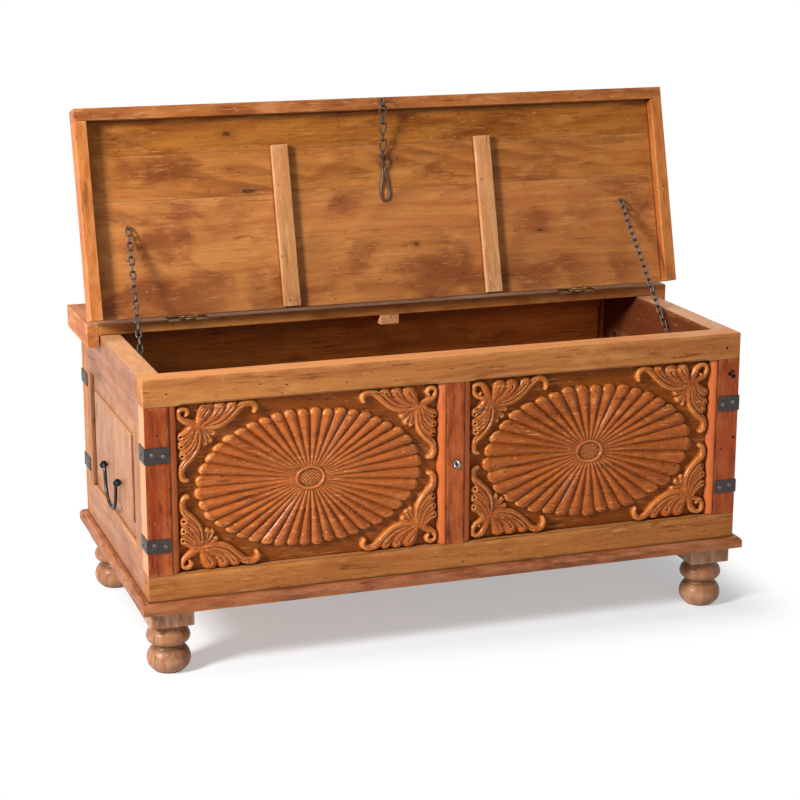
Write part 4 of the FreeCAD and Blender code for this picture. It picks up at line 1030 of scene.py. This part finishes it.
FOOT_PROFILE = (
    (0.00, 0.79), (0.06, 0.77), (0.125, 0.82), (0.18, 0.92), (0.285, 0.99), (0.375, 0.92), (0.43, 0.77),
    (0.46, 0.71), (0.50, 0.735), (0.55, 0.84), (0.635, 0.955), (0.75, 1.0), (0.855, 0.945), (0.93, 0.825),
    (1.00, 0.65),
)
FOOT_RADIUS = 43.0 * MM
FOOT_BLOCK = 35.0 * MM
FOOT_SEGMENTS = 56
FOOT_GROOVE = 36.0 * MM
FOOT_BULGE = 40.5 * MM


def turned_foot(node):
    """A lathe-turned foot under its square block."""
    low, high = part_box(node)
    centre = (low + high) / 2
    block_side = high.x - low.x - 0.4 * MM
    turned_reach = min(FOOT_RADIUS, (high.x - low.x) / 2)
    block_low = high.z - FOOT_BLOCK
    drop = block_low - low.z
    curve = smooth_path([(share, reach, 0.0) for share, reach in FOOT_PROFILE], 0.02)
    profile = [(block_low - share * drop, reach * turned_reach) for share, reach, _ in curve]
    profile = [(block_low + 1 * MM, 0.0)] + profile + [(low.z, 0.0)]
    lean = seeded(node).uniform(0.0, 6.0)
    turns = [2 * math.pi * k / FOOT_SEGMENTS for k in range(FOOT_SEGMENTS)]
    verts, faces = [], []
    for z, radius in profile:
        for turn in turns:
            reach = min(radius * (0.994 + 0.006 * math.sin(2 * turn + z * 60 + lean)), turned_reach)
            verts.append((centre.x + reach * math.cos(turn), centre.y + reach * math.sin(turn), z))
    for row in range(0, len(verts) - FOOT_SEGMENTS, FOOT_SEGMENTS):
        for k in range(FOOT_SEGMENTS):
            m = (k + 1) % FOOT_SEGMENTS
            faces.append((row + k, row + FOOT_SEGMENTS + k, row + FOOT_SEGMENTS + m, row + m))
    mesh = mesh_from_arrays(node + "_lathe", verts, faces)
    work = bmesh.new()
    work.from_mesh(mesh)
    bpy.data.meshes.remove(mesh)
    bmesh.ops.remove_doubles(work, verts=work.verts, dist=1e-6)
    block = bmesh.ops.create_cube(work, size=1.0)["verts"]
    scale = Matrix.Diagonal((block_side, block_side, FOOT_BLOCK, 1.0))
    move = Matrix.Translation((centre.x, centre.y, (high.z + block_low) / 2))
    bmesh.ops.transform(work, matrix=move @ scale, verts=block)
    edges = {edge for vert in block for edge in vert.link_edges}
    bmesh.ops.bevel(work, geom=list(edges), offset=2 * MM, segments=2, profile=0.5, affect="EDGES")
    mesh = smooth_mesh(work, node + "_turned", mend=True)
    flat = put_grain(mesh, node, "z")
    away = np.hypot(flat[:, 0] - centre.x, flat[:, 1] - centre.y)
    turned = (flat[:, 2] < block_low + 1 * MM) * (flat[:, 2] > low.z + 20 * MM)
    put_float(mesh, "grime", 0.75 * share_of(FOOT_GROOVE - away, 5 * MM) * turned)
    put_float(mesh, "edge", share_of(away - FOOT_BULGE, 3 * MM))
    stand_in(add_object(node + "_turned", mesh), node, "foot", 60)


for end in ("front", "back"):
    for side in ("left", "right"):
        turned_foot("foot_" + end + "_" + side)


# Ironwork


def tube_arrays(path, radius, sides, closed):
    """Vertices and faces of a round wire along a path of points."""
    points = np.array([tuple(point) for point in path], float)
    count = len(points)
    if closed:
        way = np.roll(points, -1, 0) - np.roll(points, 1, 0)
    else:
        way = np.gradient(points, axis=0)
    way /= np.linalg.norm(way, axis=1)[:, None]
    first = np.cross(way[0], (0.3, 0.9, 0.31))
    frames = [first / np.linalg.norm(first)]
    for i in range(1, count):
        side = frames[-1] - way[i] * np.dot(frames[-1], way[i])
        frames.append(side / np.linalg.norm(side))
    side = np.array(frames)
    up = np.cross(way, side)
    if closed:
        last = frames[-1] - way[0] * np.dot(frames[-1], way[0])
        last /= np.linalg.norm(last)
        twist = math.atan2(np.dot(np.cross(side[0], last), way[0]), np.dot(side[0], last))
        turn = (-twist * np.arange(count) / count)[:, None]
        side, up = side * np.cos(turn) + up * np.sin(turn), up * np.cos(turn) - side * np.sin(turn)
    turns = [2 * math.pi * k / sides for k in range(sides)]
    verts = [points + (side * math.cos(turn) + up * math.sin(turn)) * radius for turn in turns]
    verts = np.stack(verts, 1).reshape(-1, 3)
    faces = []
    for i in range(count if closed else count - 1):
        j = (i + 1) % count
        for k in range(sides):
            m = (k + 1) % sides
            faces.append((i * sides + k, j * sides + k, j * sides + m, i * sides + m))
    if not closed:
        start, end = len(verts), len(verts) + 1
        verts = np.vstack([verts, points[0], points[-1]])
        for k in range(sides):
            m = (k + 1) % sides
            faces.append((start, k, m))
            faces.append((end, (count - 1) * sides + m, (count - 1) * sides + k))
    return verts, faces


def wire_object(name, runs, material, node, sides=10):
    """One piece from several wires, each (path, radius, closed), that stands for a CAD solid."""
    work = bmesh.new()
    for path, radius, closed in runs:
        verts, faces = tube_arrays(path, radius, sides, closed)
        made = [work.verts.new(v) for v in verts]
        for face in faces:
            work.faces.new([made[k] for k in face])
    stand_in(add_object(name, smooth_mesh(work, name, mend=True)), node, material)


RING_STEPS = 28


def ring_points(centre, first, second, radius):
    turns = [2 * math.pi * k / RING_STEPS for k in range(RING_STEPS)]
    return [centre + first * (radius * math.cos(a)) + second * (radius * math.sin(a)) for a in turns]


def link_curve(start, way, head_side, tail_side, length, head_half, tail_half, steps=8):
    """Centre line of a chain link from its top bar's centre; a turned tail makes a twisted link."""
    points = []
    for middle, side, half in (
        (start + way * head_half, head_side, head_half),
        (start + way * (length - tail_half), tail_side, -tail_half),
    ):
        for k in range(steps + 1):
            turn = math.pi * k / steps
            points.append(middle + side * (half * math.cos(turn)) - way * (half * math.sin(turn)))
    return points


# Stay chains

STAY_WIRE = 1.6 * MM
STAY_HALF = 4.9 * MM
STAY_LINKS = 20
STAY_BITE = 0.1 * MM
STAY_MIDDLE = 0.16 * MM
STAY_SCREW = 1.66 * MM

for side_name in ("left", "right"):
    top = Vector(JOINTS["stay_upper_swing_" + side_name]["pos_m"])
    screw = Vector(JOINTS["stay_lower_swing_" + side_name]["pos_m"])
    way = (screw - top).normalized()
    reach = (screw - top).length + STAY_SCREW + STAY_WIRE
    side_a = (X_AXIS - way * X_AXIS.dot(way)).normalized()
    side_b = way.cross(side_a)
    lap = 2 * STAY_WIRE - STAY_BITE
    pitch = (reach - lap + STAY_MIDDLE) / STAY_LINKS
    halves = {"upper": [], "lower": []}
    for i in range(STAY_LINKS):
        below = i >= STAY_LINKS // 2
        side = side_a if i % 2 == 0 else side_b
        start = top + way * (pitch * i - (STAY_MIDDLE if below else 0.0))
        curve = link_curve(start, way, side, side, pitch + lap, STAY_HALF, STAY_HALF)
        halves["lower" if below else "upper"].append((curve, STAY_WIRE, True))
    for half, runs in halves.items():
        node = "stay_chain_" + half + "_" + side_name
        wire_object(node + "_links", runs, "chain", node)


# Hasp: an eye under the lid's edge, three twisted links and a long loop

HASP_WIRE = 1.7 * MM
HASP_RING = 8.3 * MM
HASP_STAND_OFF = 11.5 * MM
HASP_LENGTH = 37.9 * MM
HASP_HEAD = 7.8 * MM
HASP_TAIL = 3.5 * MM
HASP_LAP = 2 * HASP_WIRE - 0.1 * MM
HASP_DROP = 2 * HASP_WIRE + 0.12 * MM
LOOP_LENGTH = 90.0 * MM
LOOP_HALF = 9.0 * MM
LOOP_SHAPE = (
    (0.00, 0.38), (0.04, 0.80), (0.11, 1.00), (0.19, 0.72), (0.28, 0.28), (0.40, 0.36), (0.58, 0.66),
    (0.74, 0.95), (0.86, 1.00), (0.95, 0.78), (1.00, 0.38),
)

pivot = Vector(JOINTS["hasp_chain_swing"]["pos_m"])
eye_centre = pivot + Z_AXIS * (HASP_RING - HASP_DROP)
lid_up = OPEN.to_3x3() @ Z_AXIS
stem = [eye_centre + lid_up * (HASP_RING + (HASP_STAND_OFF - HASP_RING) * k / 2) for k in range(3)]
eye = ring_points(eye_centre, Y_AXIS, Z_AXIS, HASP_RING)
wire_object(
    "hasp_eye_round", [(eye, HASP_WIRE, True), (stem, HASP_WIRE, False)], "chain", "hasp_staple", sides=12,
)
runs = []
for i in range(3):
    start = pivot - Z_AXIS * ((HASP_LENGTH - HASP_LAP) * i)
    curve = link_curve(start, -Z_AXIS, X_AXIS, Y_AXIS, HASP_LENGTH, HASP_HEAD, HASP_TAIL, steps=12)
    runs.append((curve, HASP_WIRE, True))
wire_object("hasp_links_round", runs, "chain", "hasp_links", sides=12)

loop_pivot = Vector(JOINTS["hasp_loop_swing"]["pos_m"])
lean_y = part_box("hasp_loop")[0].y + HASP_WIRE - loop_pivot.y
tilt = math.asin(max(-1.0, min(1.0, -lean_y / LOOP_LENGTH)))
lean = Vector((0.0, -math.sin(tilt), -math.cos(tilt)))
outline = [loop_pivot + lean * (a * LOOP_LENGTH) + X_AXIS * (h * LOOP_HALF) for a, h in LOOP_SHAPE]
outline += [loop_pivot + lean * (a * LOOP_LENGTH) - X_AXIS * (h * LOOP_HALF) for a, h in LOOP_SHAPE[::-1]]
loop = smooth_path(outline, per=4, closed=True)
wire_object("hasp_loop_round", [(loop, HASP_WIRE, True)], "chain", "hasp_loop", sides=12)


# Drop handles and their eyes

BAIL_WIRE = 3.4 * MM
BAIL_SPACING = 132.0 * MM
BAIL_DROP = 69.0 * MM
BAIL_STUB = 8.0 * MM
BAIL_SHAPE = ((0.1, 0.14), (0.125, 0.45), (0.18, 0.70), (0.29, 0.90), (0.42, 0.99))
EYE_WIRE = 2.2 * MM
EYE_INNER = BAIL_WIRE + 0.25 * MM
STALK_WIRE = 2.6 * MM
STALK_REACH = (5.9 * MM, 7.4 * MM, 8.9 * MM)

eye_runs = []
for side_name, way in (("left", -1.0), ("right", 1.0)):
    low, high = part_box("handle_bail_" + side_name)
    x = (low.x + high.x) / 2
    z = high.z - BAIL_WIRE
    near = -BAIL_SPACING / 2
    half_path = [(x, near - BAIL_STUB, z), (x, near + EYE_WIRE * 2, z)]
    half_path += [(x, near + a * BAIL_SPACING, z - d * BAIL_DROP) for a, d in BAIL_SHAPE]
    whole = half_path + [(x, -y, z) for x, y, z in half_path[::-1]]
    bail = [(smooth_path(whole, per=5), BAIL_WIRE, False)]
    wire_object("handle_bail_round_" + side_name, bail, "handle", "handle_bail_" + side_name, sides=16)
    for y in (near, -near):
        centre = Vector((x, y, z))
        stalk = [centre - X_AXIS * (way * reach) for reach in STALK_REACH]
        eye_runs.append((ring_points(centre, X_AXIS, Z_AXIS, EYE_INNER + EYE_WIRE), EYE_WIRE, True))
        eye_runs.append((stalk, STALK_WIRE, False))
wire_object("handle_eyes_round", eye_runs, "handle", "handle_eyes", sides=14)


# Nails: two on each strap's front leaf, one on its side leaf, and old ones left in the boards

NAIL_SIDES = 12
NAIL_LEVELS = ((1.0, -0.3), (1.0, 0.35), (0.82, 0.8), (0.45, 1.0))


def nail_heads(name, heads, node, material):
    """Hammered round heads, each (place, way out, radius, height), as one piece."""
    work = bmesh.new()
    source = seeded(name)
    for place, out, radius, height in heads:
        out = Vector(out).normalized()
        first = out.orthogonal().normalized()
        second = out.cross(first)
        rings = []
        for share, rise in NAIL_LEVELS:
            spot = Vector(place) + out * (height * rise)
            ring = []
            for k in range(NAIL_SIDES):
                turn = 2 * math.pi * k / NAIL_SIDES
                reach = radius * share * source.uniform(0.93, 1.04)
                side = first * (reach * math.cos(turn)) + second * (reach * math.sin(turn))
                ring.append(work.verts.new(spot + side))
            rings.append(ring)
        for a, b in zip(rings, rings[1:]):
            for k in range(NAIL_SIDES):
                m = (k + 1) % NAIL_SIDES
                work.faces.new((a[k], a[m], b[m], b[k]))
        work.faces.new(rings[-1])
        work.faces.new(rings[0][::-1])
    mesh = smooth_mesh(work, name, mend=True)
    mesh.materials.append(MATERIALS[material])
    obj = add_object(name, mesh)
    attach(obj, BODY_OF[node])


STRAP_THICK = 2.0 * MM
STRAP_CORNER_X = 600.0 * MM
CARCASS_LOW_Z = 152.0
# Front and back: way out, nail heights above the carcass's foot, and how far in the side nails sit
STRAP_BANDS = (("front", -1.0, (108.0, 280.0), 28.0), ("back", 1.0, (115.5, 295.5), 36.0))
STRAP_NAIL_PLACES = ((13.0, 2.0), (34.0, -2.0))
FRONT_NAIL = (4.6 * MM, 1.6 * MM)
SIDE_NAIL = (4.4 * MM, 1.6 * MM)

faces_y = {"front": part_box("front_post_left")[0].y, "back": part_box("back_post_right")[1].y}
heads = []
for end, way, heights, side_reach in STRAP_BANDS:
    face_y = faces_y[end]
    for side_way in (-1.0, 1.0):
        for height in heights:
            z = (height + CARCASS_LOW_Z) * MM
            for inset, rise in STRAP_NAIL_PLACES:
                x = side_way * (STRAP_CORNER_X - inset * MM)
                heads.append(((x, face_y + way * STRAP_THICK, z + rise * MM), (0, way, 0), *FRONT_NAIL))
            side_spot = (side_way * (STRAP_CORNER_X + STRAP_THICK), face_y - way * side_reach * MM, z)
            heads.append((side_spot, (side_way, 0, 0), *SIDE_NAIL))
nail_heads("strap_nails", heads, "corner_straps", "stud")

for name, material in (
    ("stay_eyes", "chain"), ("stay_screws", "nail"),
    ("hinge_leaves_ledge", "brass"), ("hinge_leaves_lid", "brass"), ("hinge_pins", "brass"),
):
    mesh = frame["nodes"][name].data
    mesh.materials.clear()
    mesh.materials.append(MATERIALS[material])

# The lock eye, a ring turned out of the muntin's face, and a thin black disc behind it: painted shade, so
# that the hole looks dark

LOCK_RING = 6.4 * MM
LOCK_WIRE = 3.3 * MM
LOCK_TURN = math.radians(25.0)
LOCK_OUT = 7.5 * MM
SHADE_DISC_SHIFT = 1.2 * MM

lock_low, lock_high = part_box("lock_eye")
front_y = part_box("front_muntin")[0].y
lock_x, lock_z = 0.5 * (lock_low.x + lock_high.x), 0.5 * (lock_low.z + lock_high.z)
lock_across = Vector((math.sin(LOCK_TURN), -math.cos(LOCK_TURN), 0.0))
lock_ring = ring_points(Vector((lock_x, front_y - LOCK_OUT, lock_z)), lock_across, Z_AXIS, LOCK_RING)
wire_object("lock_eye_round", [(lock_ring, LOCK_WIRE, True)], "nail", "lock_eye", sides=12)
# Painted shade: a black disc on the muntin's face, seen through the ring.
shade_disc = ((lock_x + SHADE_DISC_SHIFT, front_y, lock_z), (0, -1, 0), 7.0 * MM, 0.6 * MM)
nail_heads("lock_eye_socket", [shade_disc], "lock_eye", "black")

# Nail stumps in the uprights: (x, height, radius)
POST_NAILS = (
    (579.0, 492.0, 4.2), (585.5, 497.0, 3.2), (587.0, 486.5, 4.6), (592.0, 361.0, 3.0), (566.3, 338.4, 1.6),
    (570.4, 545.1, 2.4), (-577.0, 470.0, 1.6), (-566.0, 262.0, 1.8),
)
stumps = [((x * MM, front_y, z * MM), (0, -1, 0), radius * MM, 0.9 * MM) for x, z, radius in POST_NAILS]
nail_heads("post_nails", stumps, "front_muntin", "black")


# Stage and light

FLOOR_HALF = 14.0
CHEST_HALF = (0.60, 0.30, 0.0)
FLOOR_PAINT = (0.84, 0.89, 0.91, 1.0)
WHITE = (1.0, 1.0, 1.0)
AIM = Vector((0.0, 0.0, 0.4))


def floor_material():
    """A white floor that keeps the soft shadow near the chest."""
    n = Nodes(bpy.data.materials.new("floor_white"))
    past = n.vector("SUBTRACT", n.vector("ABSOLUTE", n.place()), CHEST_HALF)
    past = n.stretch(n.vector("MAXIMUM", past, (0.0, 0.0, 0.0)), (1.0, 1.0, 0.0))
    paint = n.node("ShaderNodeBsdfDiffuse", {"Color": FLOOR_PAINT})
    far = n.times(n.span(n.length(past), 0.0, 0.17, 0.40, 1.0), n.rays("Is Camera Ray", "Is Glossy Ray"))
    n.blend(far, paint, n.glow("ShaderNodeEmission", WHITE, 1.0), "Material Output")
    return n.owner


corners = [(-1, -1), (1, -1), (1, 1), (-1, 1)]
floor_mesh = mesh_from_arrays(
    "floor", [(x * FLOOR_HALF, y * FLOOR_HALF, 0) for x, y in corners], [(0, 1, 2, 3)], smooth=False,
)
floor_mesh.materials.append(floor_material())
floor = add_object("floor", floor_mesh)

for name, place, size, power in (
    ("key_left", (-4.15, -1.85, 2.55), (0.9, 0.9), 370.0),
    ("top_left", (-1.6, 0.5, 3.9), (1.8, 1.8), 70.0),
    ("fill_front", (0.6, -4.6, 2.0), (3.0, 2.2), 22.0),
):
    light = bpy.data.lights.new(name, "AREA")
    light.shape = "RECTANGLE"
    light.size, light.size_y = size
    light.energy = power
    lamp = add_object(name, light)
    lamp.location = place
    lamp.rotation_euler = (AIM - Vector(place)).to_track_quat("-Z", "Y").to_euler()

world = bpy.data.worlds.new("studio")
bpy.context.scene.world = world
n = Nodes(world)
dim = n.glow("ShaderNodeBackground", WHITE, 0.20)
bright = n.glow("ShaderNodeBackground", WHITE, 1.0)
seen = n.rays("Is Camera Ray", "Is Transmission Ray", "Is Glossy Ray")
n.blend(seen, dim, bright, "World Output")
bpy.context.scene.view_settings.view_transform = "Standard"
